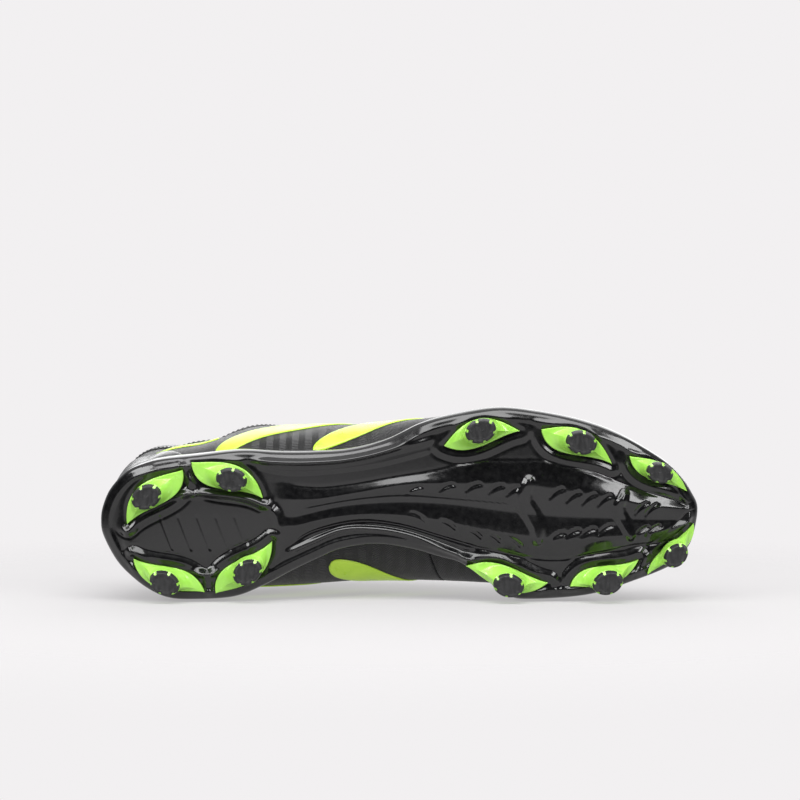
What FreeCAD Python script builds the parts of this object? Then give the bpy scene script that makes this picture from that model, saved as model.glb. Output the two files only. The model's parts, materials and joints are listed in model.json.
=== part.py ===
import FreeCAD, Part
import math
import os
from FreeCAD import Placement, Rotation, Vector

# Right-foot firm-ground soccer cleat. X runs from heel to toe, +Y is the inner (medial) side,
# +Z is up, and the stud tips stand on z = 0. Millimetres.

doc = FreeCAD.newDocument("soccer_cleat")

# ---------------------------------------------------------------- driving dimensions

SIZES = [
    ("plate_length", 288, "heel to toe of the outsole plate"),
    ("ball_outer", 51.9, "axis to outer edge at the ball"),
    ("ball_inner", 40.6, "axis to inner edge at the ball"),
    ("waist_outer", 30.6, "axis to outer edge at the waist"),
    ("waist_inner", 15, "axis to inner edge at the waist"),
    ("heel_outer", 31, "axis to outer edge at the heel"),
    ("heel_inner", 40.5, "axis to inner edge at the heel"),
    ("plate_floor", 3, "plate thickness under the foot"),
    ("plate_wall", 6, "plate side wall above its floor"),
    ("heel_cup", 16, "more wall round the back of the heel"),
    ("ground_to_sole", 13, "ground to sole between the studs"),
    ("spine_height", 2, "spine and ring above the sole face"),
    ("ring_width", 5, "width of the heel ring"),
    ("pad_proud", 1.4, "leaf pad above the sole face"),
    ("pad_sunk", 1, "leaf pad below the sole face"),
    ("stud_base_length", 18, "stud oval where it leaves the leaf"),
    ("stud_base_width", 12.6, "stud oval where it leaves the leaf"),
    ("stud_splay", 1.2, "outward lean of a stud over its height"),
    ("tip_length", 14, "oval ground face, long way"),
    ("tip_width", 10.5, "oval ground face, short way"),
    ("tip_height", 3.5, "moulded tip"),
    ("tip_flare", 0.5, "tip wider at its top, each side"),
    ("toe_tip_share", 0.87, "toe tips against the others"),
    ("toe_tip_lift", 4, "toe spring under the front tips"),
    ("key_width", 1.3, "green key in the tip's rim"),
    ("key_depth", 1.2, "key into the tip"),
    ("key_recess", 0.6, "key short of the ground face"),
    ("shell_wall", 1.5, "outer synthetic"),
    ("stiffener_wall", 0.8, "heel counter and toe puff"),
    ("lining_wall", 1.0, "lining"),
    ("overlay_wall", 0.6, "bands, collar band and foxing"),
    ("eyestay_wall", 0.8, "eyestay reinforcement"),
    ("collar_pad", 5, "collar foam thickness"),
    ("collar_pad_drop", 22, "collar foam below the collar line"),
    ("collar_band_drop", 9, "collar band below the collar line"),
    ("tongue_wall", 4, "padded tongue"),
    ("tongue_breadth", 46, "tongue across"),
    ("tongue_gap", 0.8, "fold line of the tongue"),
    ("fold_clear", 0.6, "free flap of the tongue stands in from the lining by"),
    ("board_wall", 2, "strobel board above the shell bottom"),
    ("board_margin", 9, "board inside the plate edge"),
    ("sockliner_wall", 4, "foot bed"),
    ("toe_box_height", 53, "ground to top of the toe box"),
    ("instep_height", 112, "ground to instep at the top eyelet"),
    ("collar_back", 95, "ground to the collar at the heel"),
    ("collar_dip", 75, "ground to the collar under the ankle"),
    ("throat_front", 15, "throat opening at its front"),
    ("throat_back", 29, "throat opening at the top eyelets"),
    ("eyestay_breadth", 14, "eyestay beside the throat"),
    ("lace_breadth", 6.5, "flat lace"),
    ("lace_wall", 1.3, "flat lace"),
    ("lace_rows", 6, "rows of lace"),
    ("eyelet_bore", 4, "punched eyelet"),
]

sheet = doc.addObject("Spreadsheet::Sheet", "sizes")
for row, (alias, value, note) in enumerate(SIZES, start=1):
    sheet.set("A%d" % row, str(value))
    sheet.setAlias("A%d" % row, alias)
    sheet.set("B%d" % row, note)
doc.recompute()


def size(alias):
    return float(getattr(sheet, alias))


LENGTH = size("plate_length")
FAR = 400.0


def x_at(share):
    """Place along the shoe: share 0 is the heel end of the plate, 1 the toe end."""
    return (share - 0.5) * LENGTH


# ---------------------------------------------------------------- curves

def smooth(table, at):
    """Cubic (Catmull-Rom) curve through (place, value) pairs, flat beyond the ends."""
    if at <= table[0][0]:
        return table[0][1]
    if at >= table[-1][0]:
        return table[-1][1]
    k = max(i for i in range(len(table) - 1) if table[i][0] <= at)
    (x1, y1), (x2, y2) = table[k], table[k + 1]
    x0, y0 = table[k - 1] if k else (2 * x1 - x2, 2 * y1 - y2)
    x3, y3 = table[k + 2] if k + 2 < len(table) else (2 * x2 - x1, 2 * y2 - y1)
    step = x2 - x1
    t = (at - x1) / step
    m1 = (y2 - y0) / (x2 - x0) * step
    m2 = (y3 - y1) / (x3 - x1) * step
    return ((2 * t**3 - 3 * t**2 + 1) * y1 + (t**3 - 2 * t**2 + t) * m1
            + (3 * t**2 - 2 * t**3) * y2 + (t**3 - t**2) * m2)


def spline(points, closed=False):
    curve = Part.BSplineCurve()
    curve.interpolate(Points=[Vector(*p) for p in points], PeriodicFlag=closed)
    return curve.toShape()


def line(a, b):
    return Part.LineSegment(Vector(*a), Vector(*b)).toShape()


def prism(wire, direction):
    return Part.Face(wire).extrude(Vector(*direction))


def plan_prism(points, low, high):
    """Upright solid on a closed smooth plan outline."""
    wire = Part.Wire(spline([(x, y, low) for x, y in points], closed=True))
    return prism(wire, (0, 0, high - low))


def side_prism(points, y_low, y_high, round_outline=False):
    """Solid across the shoe on a closed outline seen from the side, points (x, z)."""
    ring = [(x, y_low, z) for x, z in points]
    if round_outline:
        wire = Part.Wire(spline(ring, closed=True))
    else:
        wire = Part.makePolygon([Vector(*p) for p in ring + ring[:1]])
    return prism(wire, (0, y_high - y_low, 0))


# ---------------------------------------------------------------- the sole's outline and profile

BREADTH = {zone: size(zone) for zone in
           ("ball_outer", "ball_inner", "waist_outer", "waist_inner", "heel_outer", "heel_inner")}

# Share of the length, the breadth it goes by, share of that breadth.
OUTER_EDGE = [
    (0.004, "heel_outer", 0.14), (0.018, "heel_outer", 0.42), (0.046, "heel_outer", 0.69),
    (0.079, "heel_outer", 0.83), (0.11, "heel_outer", 0.9), (0.158, "heel_outer", 0.95),
    (0.235, "heel_outer", 1.02), (0.3, "waist_outer", 1.0), (0.355, "waist_outer", 0.99),
    (0.415, "waist_outer", 1.02), (0.478, "ball_outer", 0.69), (0.537, "ball_outer", 0.85),
    (0.593, "ball_outer", 0.94), (0.661, "ball_outer", 1.0), (0.725, "ball_outer", 0.97),
    (0.8, "ball_outer", 0.885), (0.865, "ball_outer", 0.75), (0.933, "ball_outer", 0.525),
    (0.967, "ball_outer", 0.355), (0.989, "ball_outer", 0.18),
]
INNER_EDGE = [
    (0.004, "heel_inner", 0.26), (0.026, "heel_inner", 0.55), (0.054, "heel_inner", 0.75),
    (0.082, "heel_inner", 0.89), (0.11, "heel_inner", 0.975), (0.145, "heel_inner", 1.0),
    (0.22, "heel_inner", 0.975), (0.269, "heel_inner", 0.85), (0.32, "heel_inner", 0.67),
    (0.362, "waist_inner", 1.45), (0.4, "waist_inner", 1.16), (0.458, "waist_inner", 1.0),
    (0.516, "waist_inner", 1.12), (0.566, "waist_inner", 1.36), (0.602, "ball_inner", 0.575),
    (0.645, "ball_inner", 0.78), (0.68, "ball_inner", 0.95), (0.713, "ball_inner", 1.0),
    (0.815, "ball_inner", 0.95), (0.894, "ball_inner", 0.79), (0.955, "ball_inner", 0.63),
    (0.975, "ball_inner", 0.5), (0.991, "ball_inner", 0.33),
]
HEEL_POLE = (0.0, "heel_inner", 0.07)
TOE_POLE = (1.0, "ball_outer", -0.02)


def edge_point(entry, side):
    share, zone, part = entry
    return (x_at(share), side * part * BREADTH[zone])


def plate_outline(inset=0.0):
    """The plate's outline, or the same shape drawn in towards its own axis."""
    ring = ([edge_point(HEEL_POLE, 1)] + [edge_point(e, -1) for e in OUTER_EDGE]
            + [edge_point(TOE_POLE, 1)] + [edge_point(e, 1) for e in reversed(INNER_EDGE)])
    if not inset:
        return ring
    across = {"outer": edge_table(OUTER_EDGE, -1), "inner": edge_table(INNER_EDGE, 1)}
    drawn = []
    for x, y in ring[::2]:
        x_in = x * (1 - 2 * inset / LENGTH)
        middle = (smooth(across["outer"], x_in) + smooth(across["inner"], x_in)) / 2
        reach = abs(y - middle)
        drawn.append((x_in, middle + math.copysign(max(reach - inset, 0.5 * reach), y - middle)))
    return drawn


def edge_table(entries, side):
    return [edge_point(e, side) for e in entries]


# Height of the sole face over the ground, above ground_to_sole: heel end, waist arch, toe spring.
SOLE_RISE = [(0.0, 4), (0.06, 0), (0.26, 0), (0.43, 6), (0.6, 1), (0.71, -0.5), (0.81, 0),
             (0.88, 2), (0.95, 6), (1.0, 11)]


def sole_face(x):
    return size("ground_to_sole") + smooth(SOLE_RISE, x / LENGTH + 0.5)


def sole_slab(low, high):
    """Everything between two heights measured from the sole face, which follows the toe spring."""
    shares = [-0.08, 0.0, 0.06, 0.16, 0.26, 0.34, 0.43, 0.52, 0.6, 0.71, 0.81, 0.88, 0.95, 1.0, 1.08]
    xs = [x_at(s) for s in shares]
    under = [(x, -90, sole_face(x) + low) for x in xs]
    over = [(x, -90, sole_face(x) + high) for x in xs]
    wire = Part.Wire([spline(under), line(under[-1], over[-1]), spline(list(reversed(over))),
                      line(over[0], under[0])])
    return prism(wire, (0, 180, 0))


# ---------------------------------------------------------------- the upper as nested closed forms

UNDER = size("plate_floor")
STANDING = ("instep_height", "toe_box_height")

# Upright stations: share of length, ridge (driving height, share), outer side (breadth, share,
# rise share), inner side (the same), ridge y, bottom y, roundness below outer, below inner, above.
STATIONS = [
    (0.24, ("instep_height", 1.107), ("heel_outer", 1.17, 0.32), ("heel_inner", 0.93, 0.2), 4, 4,
     3.0, 3.0, 2.1),
    (0.344, ("instep_height", 1.0), ("waist_outer", 1.24, 0.36), ("heel_inner", 0.95, 0.26), 3.5, -2,
     2.6, 2.2, 1.9),
    (0.448, ("instep_height", 0.862), ("waist_outer", 1.3, 0.35), ("heel_inner", 0.93, 0.35), 2, -6,
     2.4, 1.9, 1.8),
    (0.552, ("instep_height", 0.728), ("ball_outer", 0.85, 0.31), ("ball_inner", 0.9, 0.36), 0, -7,
     2.8, 2.0, 1.9),
    (0.656, ("instep_height", 0.612), ("ball_outer", 0.94, 0.27), ("ball_inner", 0.88, 0.3), -1, -6,
     3.2, 2.8, 2.0),
    (0.76, ("toe_box_height", 1.1), ("ball_outer", 0.875, 0.28), ("ball_inner", 0.92, 0.28), -2, -5,
     3.3, 3.2, 2.2),
    (0.847, ("toe_box_height", 1.0), ("ball_outer", 0.745, 0.3), ("ball_inner", 0.83, 0.3), -2, -3,
     3.2, 3.2, 2.3),
    (0.917, ("toe_box_height", 0.9), ("ball_outer", 0.54, 0.3), ("ball_inner", 0.67, 0.3), -1, -1,
     2.8, 2.8, 2.3),
    (0.962, ("toe_box_height", 0.775), ("ball_outer", 0.335, 0.33), ("ball_inner", 0.49, 0.33), 0, 1,
     2.4, 2.4, 2.1),
    (0.986, ("toe_box_height", 0.65), ("ball_outer", 0.15, 0.4), ("ball_inner", 0.29, 0.4), 1, 1,
     2.0, 2.0, 2.0),
    (0.996, ("toe_box_height", 0.56), ("ball_outer", 0.05, 0.5), ("ball_inner", 0.1, 0.5), 1, 1,
     2.0, 2.0, 2.0),
]
# Heel stations fan about a line across the ankle: share of length and height of the outermost
# point (above the sole face, or as a share of the collar), outer side, inner side, and how far
# from the fan line the widest place is.
HEEL_FAN = [
    (0.0278, ("collar_back", 1.2), 0.71, 0.74, 0.5),
    (0.019, ("collar_back", 1.013), 0.73, 0.74, 0.5),
    (0.0076, ("collar_back", 0.777), 0.76, 0.765, 0.5),
    (0.006, ("collar_back", 0.526), 0.775, 0.78, 0.52),
    (0.0233, ("sole", 9.0), 0.81, 0.815, 0.56),
    (0.064, ("sole", 3.2), 0.9, 0.875, 0.66),
    (0.134, ("sole", 3.0), 0.98, 0.915, 0.76),
]
FAN_SHARE = 0.24
FAN_CLEAR = 6.0
PER_QUARTER = 7
TAPER_SPAN = 14.0


def drawn_in(centre, reach, wall):
    """Move a side towards the middle by a wall, less where the form is narrower than its nose."""
    span = max(abs(reach - centre), TAPER_SPAN)
    return centre + (reach - centre) * (1 - wall / span)


def section(origin, up, ridge, foot, outer, inner, mid_top, mid_foot, roundness, wall):
    """One closed section: four quarter superellipses between ridge, sides and foot."""
    outer_y, outer_h = outer
    inner_y, inner_h = inner
    quarters = (
        (outer_y, outer_h, ridge, mid_top, roundness[2], 1),
        (inner_y, inner_h, ridge, mid_top, roundness[2], -1),
        (inner_y, inner_h, foot, mid_foot, roundness[1], 1),
        (outer_y, outer_h, foot, mid_foot, roundness[0], -1),
    )
    points = []
    for side_y, side_h, end_h, mid_y, power, sense in quarters:
        side_y = drawn_in(mid_y, side_y, wall)
        end = drawn_in(side_h, end_h, wall)
        for k in range(PER_QUARTER):
            t = k / PER_QUARTER if sense > 0 else 1 - k / PER_QUARTER
            angle = t * math.pi / 2
            y = mid_y + (side_y - mid_y) * math.cos(angle) ** (2 / power)
            rise = side_h + (end - side_h) * math.sin(angle) ** (2 / power)
            points.append(origin + Vector(0, y, 0) + up * rise)
    return points


def upper_sections(wall):
    fan_x = x_at(FAN_SHARE)
    fan_z = size("instep_height") * STATIONS[0][1][1] + FAN_CLEAR
    rings = []
    for share, (tag, value), outer, inner, widest in HEEL_FAN:
        x = x_at(share)
        z = sole_face(x) + value if tag == "sole" else size(tag) * value
        ray = Vector(x - fan_x, 0, z - fan_z)
        reach = ray.Length
        up = ray * (-1 / reach)
        side_h = -(FAN_CLEAR + widest * (reach - FAN_CLEAR))
        rings.append(section(Vector(fan_x, 0, fan_z), up, -FAN_CLEAR, -reach,
                             (-outer * BREADTH["heel_outer"], side_h),
                             (inner * BREADTH["heel_inner"], side_h), 4, 4, (2.4, 2.4, 2.2), wall))
    for share, (tag, value), outer, inner, mid_top, mid_foot, low_out, low_in, top in STATIONS:
        x = x_at(share)
        nose = max(0.0, (share - 0.76) / (0.996 - 0.76))
        foot = sole_face(x) + UNDER
        ridge = size(tag) * value
        rise = ridge - foot
        rings.append(section(Vector(x - wall * nose**2, 0, 0), Vector(0, 0, 1), ridge, foot,
                             (-outer[1] * BREADTH[outer[0]], foot + outer[2] * rise),
                             (inner[1] * BREADTH[inner[0]], foot + inner[2] * rise),
                             mid_top, mid_foot, (low_out, low_in, top), wall))
    return rings


def with_middles(rings):
    """The sections with one more between each two, on a cubic through four neighbours."""
    filled = []
    last = len(rings) - 1
    for k in range(last):
        before, here, after, beyond = (rings[min(max(k + d, 0), last)] for d in (-1, 0, 1, 2))
        filled.append(here)
        if k and k + 2 <= last:
            filled.append([(b + c) * 0.5625 - (a + d) * 0.0625
                           for a, b, c, d in zip(before, here, after, beyond)])
    return filled + [rings[-1]]


LAYERS = {}


def form(wall):
    """The closed form of the upper, drawn in by a wall; outside the shell the wall is negative."""
    key = round(wall, 4)
    if key not in LAYERS:
        rings = with_middles(upper_sections(wall))
        skin = Part.BSplineSurface()
        skin.interpolate([ring + ring[:1] for ring in rings])
        low, high = skin.bounds()[:2]
        ends = [Part.Face(Part.Wire(skin.uIso(u).toShape())) for u in (low, high)]
        shell = Part.makeShell([skin.toShape()] + ends)
        shell.sewShape()
        LAYERS[key] = Part.makeSolid(shell)
    return LAYERS[key]


def layer(outside, inside):
    """A skin between two of the nested forms."""
    return form(outside).cut(form(inside))


# ---------------------------------------------------------------- cutters that the layers share

RIDGE_Y = [(s[0], s[4]) for s in STATIONS]


def ridge_y(x):
    return smooth(RIDGE_Y, x / LENGTH + 0.5)


THROAT_FRONT_SHARE = 0.655
TOP_EYELET_SHARE = 0.345
TONGUE_TIP_SHARE = 0.262
TONGUE_ROOT_SHARE = 0.69


def throat_half(x):
    """Half the throat opening: widens evenly from its front to the top eyelets."""
    front, back = x_at(THROAT_FRONT_SHARE), x_at(TOP_EYELET_SHARE)
    t = (front - x) / (front - back)
    return (size("throat_front") + t * (size("throat_back") - size("throat_front"))) / 2


def throat_prism(margin):
    """Upright cutter of the throat, widened by a margin, running on into the ankle opening."""
    front = x_at(THROAT_FRONT_SHARE)
    xs = [x_at(0.2), x_at(TOP_EYELET_SHARE), x_at(0.45), x_at(0.55), front - size("throat_front") / 2]
    outer = [(x, ridge_y(x) - throat_half(x) - margin) for x in xs]
    inner = [(x, ridge_y(x) + throat_half(x) + margin) for x in xs]
    nose = (front + margin, ridge_y(front))
    low = size("collar_dip") * 0.62
    around = [(x, y, low) for x, y in outer + [nose] + inner[::-1]]
    wire = Part.Wire([spline(around), line(around[-1], around[0])])
    return prism(wire, (0, 0, FAR))


def tongue_prism(margin=0.0):
    """Upright cutter of the whole tongue: root under the vamp, rounded free end past the collar."""
    root, tip = x_at(TONGUE_ROOT_SHARE), x_at(TONGUE_TIP_SHARE)
    half = size("tongue_breadth") / 2 + margin
    middle = (root + tip) / 2
    around = [(root + margin, -0.6), (middle, -0.92), (tip + half * 0.5, -1.0), (tip - margin, -0.55)]
    ring = [(x, ridge_y(x) + share * half) for x, share in around]
    ring += [(x, ridge_y(x) - share * half) for x, share in reversed(around)]
    return plan_prism(ring, size("collar_dip") * 0.5, FAR)


def collar_heights(drop=0.0):
    """The collar line seen from the side, heel to top eyelet, lowered by a drop."""
    back, dip = size("collar_back"), size("collar_dip")
    top = size("instep_height")
    shares = [(-0.08, back + 2), (0.02, back), (0.075, back - 0.4 * (back - dip)),
              (0.125, dip + 0.15 * (back - dip)), (0.18, dip), (0.235, dip + 0.15 * (back - dip)),
              (0.285, dip + 0.42 * (top - dip)), (0.325, dip + 0.8 * (top - dip))]
    return [(x_at(s), z - drop) for s, z in shares]


def above_collar(drop=0.0):
    """Everything above the collar line, cut straight across the shoe."""
    low = [(x, -90, z) for x, z in collar_heights(drop)]
    front = low[-1]
    top = [(front[0] + 1.5, -90, size("instep_height") * 1.02), (front[0] + 1.5, -90, FAR),
           (x_at(-0.2), -90, FAR), (x_at(-0.2), -90, low[0][2])]
    edges = [spline(low)] + [line(a, b) for a, b in zip([front] + top, top + [low[0]])]
    return prism(Part.Wire(edges), (0, 180, 0))


def half_space(y, side):
    """All on one side of an upright plane along the shoe."""
    low = y if side > 0 else y - FAR
    return Part.makeBox(2 * FAR, FAR, 2 * FAR, Vector(-FAR, low, -FAR))


def between_x(x_low, x_high):
    return Part.makeBox(x_high - x_low, 2 * FAR, 2 * FAR, Vector(x_low, -FAR, -FAR))


SEAM_Y = 3.5
SHELL = size("shell_wall")
STIFFENER = size("stiffener_wall")
LINING_IN = SHELL + STIFFENER + size("lining_wall")
OVERLAY = size("overlay_wall")
EYESTAY = size("eyestay_wall")

opening = above_collar()
throat = throat_prism(0)
board_window = plan_prism(plate_outline(size("board_margin")), -5, size("collar_dip") * 0.5)
vamp_side = side_prism([(x_at(0.66), FAR), (x_at(0.66), size("instep_height") * 0.66),
                        (x_at(0.6), size("instep_height") * 0.42), (x_at(0.5), 0),
                        (x_at(0.5), -FAR), (FAR, -FAR), (FAR, FAR)], -FAR / 4, FAR / 4)

# ---------------------------------------------------------------- parts list and helpers

SHAPES = {}


def largest_solids(shape, least=1.0):
    """The solids of a shape, without crumbs left by cutting."""
    solids = [s for s in shape.Solids if s.Volume > least]
    return solids[0] if len(solids) == 1 else Part.makeCompound(solids)


def keep(node, shape):
    SHAPES[node] = largest_solids(shape)


# ---------------------------------------------------------------- studs

# Rear tip, front tip (shares of length; y as a share of the breadth named), how far the leaf
# bulges outwards and inwards as shares of its own length, where those bulges peak, and where the
# stud stands: along the leaf and off its line.
STUDS = {
    "heel_lateral_rear": ((0.046, 0.12), (0.14, -0.745), "heel_outer", 0.23, 0.42, 0.16, 0.72, 0.467, 0.052, 28),
    "heel_lateral_front": ((0.155, -0.86), (0.272, -0.29), "heel_outer", 0.22, 0.57, 0.17, 0.28, 0.542, 0.036, -10),
    "heel_medial_rear": ((0.056, 0.505), (0.175, 0.9), "heel_inner", 0.2, 0.37, 0.14, 0.68, 0.488, 0.032, -25),
    "heel_medial_front": ((0.193, 0.915), (0.287, 0.3), "heel_inner", 0.22, 0.56, 0.16, 0.28, 0.533, 0.022, 32),
    "ball_lateral_rear": ((0.573, -0.655), (0.698, -0.8), "ball_outer", 0.26, 0.5, 0.11, 0.33, 0.504, 0.103, 21),
    "ball_lateral_mid": ((0.734, -0.815), (0.852, -0.49), "ball_outer", 0.22, 0.5, 0.15, 0.28, 0.494, 0.064, -14),
    "toe_lateral": ((0.881, -0.56), (0.98, -0.21), "ball_outer", 0.16, 0.55, 0.137, 0.3, 0.454, 0.01, -19),
    "ball_medial_rear": ((0.61, 0.595), (0.746, 0.79), "ball_inner", 0.2, 0.6, 0.11, 0.36, 0.53, 0.054, -12),
    "ball_medial_mid": ((0.784, 0.835), (0.898, 0.53), "ball_inner", 0.18, 0.58, 0.142, 0.28, 0.495, 0.044, 20),
    "toe_medial": ((0.914, 0.71), (0.992, 0.125), "ball_inner", 0.165, 0.66, 0.09, 0.28, 0.505, 0.013, 46),
}
KEYS = 6
LEAF_STEPS = 10
OUTER_ROUND = 1.9
INNER_ROUND = 2.5


def leaf_frame(stud):
    (rear, rear_y), (front, front_y), zone = stud[:3]
    rear_point = Vector(x_at(rear), rear_y * BREADTH[zone], 0)
    front_point = Vector(x_at(front), front_y * BREADTH[zone], 0)
    along = front_point - rear_point
    outwards = Vector(-along.y, along.x, 0) / along.Length
    if (outwards.y > 0) != ("medial" in NAME_OF[id(stud)]):
        outwards = outwards * -1
    return rear_point, along, outwards


NAME_OF = {id(stud): name for name, stud in STUDS.items()}


def leaf_wire(stud, z):
    """Leaf outline between pointed ends. Each side stands off by t^a (1 - t)^b, scaled to its bulge,
    with a : b set by where it peaks; the inner side's larger powers hollow it towards one end."""
    start, along, outwards = leaf_frame(stud)
    outer_bulge, outer_peak, inner_bulge, inner_peak = stud[3:7]
    length = along.Length

    def side(bulge, peak, total, sense):
        rise, fall = peak * total, (1 - peak) * total
        most = peak**rise * (1 - peak) ** fall
        points = []
        for k in range(LEAF_STEPS + 1):
            t = 0.5 - 0.5 * math.cos(math.pi * k / LEAF_STEPS)
            off = sense * bulge * length * t**rise * (1 - t) ** fall / most
            p = start + along * t + outwards * off
            points.append((p.x, p.y, z))
        return points

    there = side(outer_bulge, outer_peak, OUTER_ROUND, 1)
    back = side(inner_bulge, inner_peak, INNER_ROUND, -1)
    return Part.Wire([spline(there), spline(back[::-1])])


def leaf_prism(stud):
    return prism(leaf_wire(stud, -5), (0, 0, 60))


def oval(centre, z, long_way, short_way, turn):
    ellipse = Part.Ellipse(Vector(0, 0, 0), long_way / 2, short_way / 2).toShape()
    wire = Part.Wire(ellipse)
    wire.Placement = Placement(Vector(centre.x, centre.y, z), Rotation(Vector(0, 0, 1), turn))
    return wire


def stud_layout(name):
    """Base centre, tip centre, tip size and tip ground height of one stud."""
    stud = STUDS[name]
    start, along, outwards = leaf_frame(stud)
    base = start + along * stud[7] + outwards * along.Length * stud[8]
    share = size("toe_tip_share") if name.startswith("toe") else 1.0
    ground = size("toe_tip_lift") if name.startswith("toe") else 0.0
    tip = base + outwards * size("stud_splay")
    return base, tip, share, ground


def bound(obj, prop, expression):
    obj.setExpression(prop, expression)
    return obj


def stud_tip(name):
    """Notched oval tip: a loft between two ellipses, cut by six keyways round its rim."""
    base, tip, share, ground = stud_layout(name)
    grow = "sizes.toe_tip_share * " if share != 1.0 else ""
    ends = []
    for end, flare in (("ground", ""), ("neck", " + 2 * sizes.tip_flare")):
        ellipse = doc.addObject("Part::Ellipse", "oval_%s_%s" % (end, name))
        bound(ellipse, "MajorRadius", "%s(sizes.tip_length%s) / 2" % (grow, flare))
        bound(ellipse, "MinorRadius", "%s(sizes.tip_width%s) / 2" % (grow, flare))
        if end == "neck":
            bound(ellipse, "Placement.Base.z", "sizes.tip_height")
        ends.append(ellipse)
    body = doc.addObject("Part::Loft", "oval_body_%s" % name)
    body.Sections = ends
    body.Solid = True
    body.Ruled = True
    keyways = []
    for k in range(KEYS):
        angle = math.pi * (2 * k + 1) / KEYS
        box = doc.addObject("Part::Box", "keyway_%d_%s" % (k, name))
        bound(box, "Length", "3 * sizes.key_depth")
        bound(box, "Width", "sizes.key_width")
        bound(box, "Height", "3 * sizes.tip_height")
        on_rim = Vector(share * size("tip_length") / 2 * math.cos(angle),
                        share * size("tip_width") / 2 * math.sin(angle), 0)
        normal = Vector(math.cos(angle) / size("tip_length"), math.sin(angle) / size("tip_width"), 0)
        turn = Rotation(Vector(0, 0, 1), math.degrees(math.atan2(normal.y, normal.x)))
        inner = on_rim + turn.multVec(Vector(-size("key_depth"), -size("key_width") / 2, 0))
        box.Placement = Placement(inner - Vector(0, 0, size("tip_height")), turn)
        keyways.append(box)
    tools = doc.addObject("Part::Compound", "keyways_%s" % name)
    tools.Links = keyways
    cut = doc.addObject("Part::Cut", "stud_tip_%s" % name)
    cut.Base = body
    cut.Tool = tools
    cut.Label = "stud_tip_%s" % name
    place = Placement(Vector(tip.x, tip.y, ground), Rotation(Vector(0, 0, 1), -STUDS[name][9]))
    return cut, body, tools, place


def stud_pad(name, plate_pad, body, tools, place):
    """Leaf pad that rises into an oval stud, with keys that fill the tip's keyways but one step."""
    base, tip, share, ground = stud_layout(name)
    turn = -STUDS[name][9]
    neck_z = ground + size("tip_height")
    root_z = sole_face(base.x) - 0.2
    flare = 2 * size("tip_flare")
    stud = Part.makeLoft([
        oval(tip, neck_z, share * (size("tip_length") + flare), share * (size("tip_width") + flare), turn),
        oval(base, root_z, share * size("stud_base_length"), share * size("stud_base_width"), turn),
    ], True, True)
    keys = body.common(tools)
    keys.Placement = place
    above = Part.makeBox(60, 60, 60, Vector(tip.x - 30, tip.y - 30, ground + size("key_recess")))
    return plate_pad.fuse([stud, keys.common(above)])


tips = {name: stud_tip(name) for name in STUDS}
doc.recompute()

pad_slab = sole_slab(-size("pad_proud"), size("pad_sunk"))
pockets = []
for name, stud in STUDS.items():
    leaf = leaf_prism(stud).common(pad_slab)
    cut, body, tools, place = tips[name]
    pad = stud_pad(name, leaf, body.Shape, tools.Shape, place)
    pockets.append(pad)
    keep("stud_pad_" + name, pad)

# ---------------------------------------------------------------- outsole plate

# Spine outline: share of length, y; it runs from the heel ring's front to the toe.
SPINE_OUTER = [(0.33, -11), (0.42, -14), (0.483, -18), (0.567, -22.5), (0.65, -26), (0.75, -26),
               (0.81, -22), (0.87, -16), (0.93, -9), (0.975, -4)]
SPINE_INNER = [(0.975, 5), (0.93, 10), (0.87, 15), (0.8, 19), (0.72, 20), (0.64, 15), (0.567, 9),
               (0.483, 4), (0.42, 4), (0.33, 10)]
RING_MIDDLE = (0.172, 8)
RING_REACH = (34, 17)


def wall_top():
    """All below the plate's rim, which climbs round the back of the heel as a cup."""
    low = UNDER + size("plate_wall")
    cup = size("heel_cup")
    climb = [(-0.08, cup), (0.0, cup), (0.05, 0.8 * cup), (0.12, 0.35 * cup), (0.2, 0.06 * cup), (0.26, 0), (0.34, 0),
             (0.43, 0), (0.52, 0), (0.6, 0), (0.71, 0), (0.81, 0), (0.88, 0), (0.95, 0), (1.08, 0)]
    over = [(x_at(s), -90, sole_face(x_at(s)) + low + more) for s, more in climb]
    under = [(x_at(-0.08), -90, -20), (x_at(1.08), -90, -20)]
    edges = [spline(over), line(over[-1], under[1]), line(under[1], under[0]), line(under[0], over[0])]
    return prism(Part.Wire(edges), (0, 180, 0))


def outsole_plate():
    body = plan_prism(plate_outline(), -5, 80).common(sole_slab(0, 80)).common(rim_cut)
    raised = sole_slab(-size("spine_height"), 0.3)
    spine = plan_prism([(x_at(s), y) for s, y in SPINE_OUTER + SPINE_INNER], -5, 80)
    middle = Vector(x_at(RING_MIDDLE[0]), RING_MIDDLE[1], 0)
    wide = size("ring_width")
    outer = Part.Face(oval(middle, -5, 2 * RING_REACH[0] + wide, 2 * RING_REACH[1] + wide, 0))
    inner = Part.Face(oval(middle, -5, 2 * RING_REACH[0] - wide, 2 * RING_REACH[1] - wide, 0))
    ring = outer.cut(inner).extrude(Vector(0, 0, 60))
    body = body.fuse(spine.common(raised)).fuse(ring.common(raised))
    return body.cut(form(0)).cut(Part.makeCompound(pockets))


rim_cut = wall_top()
keep("outsole_plate", outsole_plate())

# ---------------------------------------------------------------- shell, lining and stiffeners

shell = layer(0, SHELL).cut(opening).cut(throat).cut(board_window)
rest = shell.cut(vamp_side)
keep("vamp", shell.common(vamp_side))
keep("quarter_lateral", rest.common(half_space(SEAM_Y, -1)))
keep("quarter_medial", rest.common(half_space(SEAM_Y, 1)))

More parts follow.
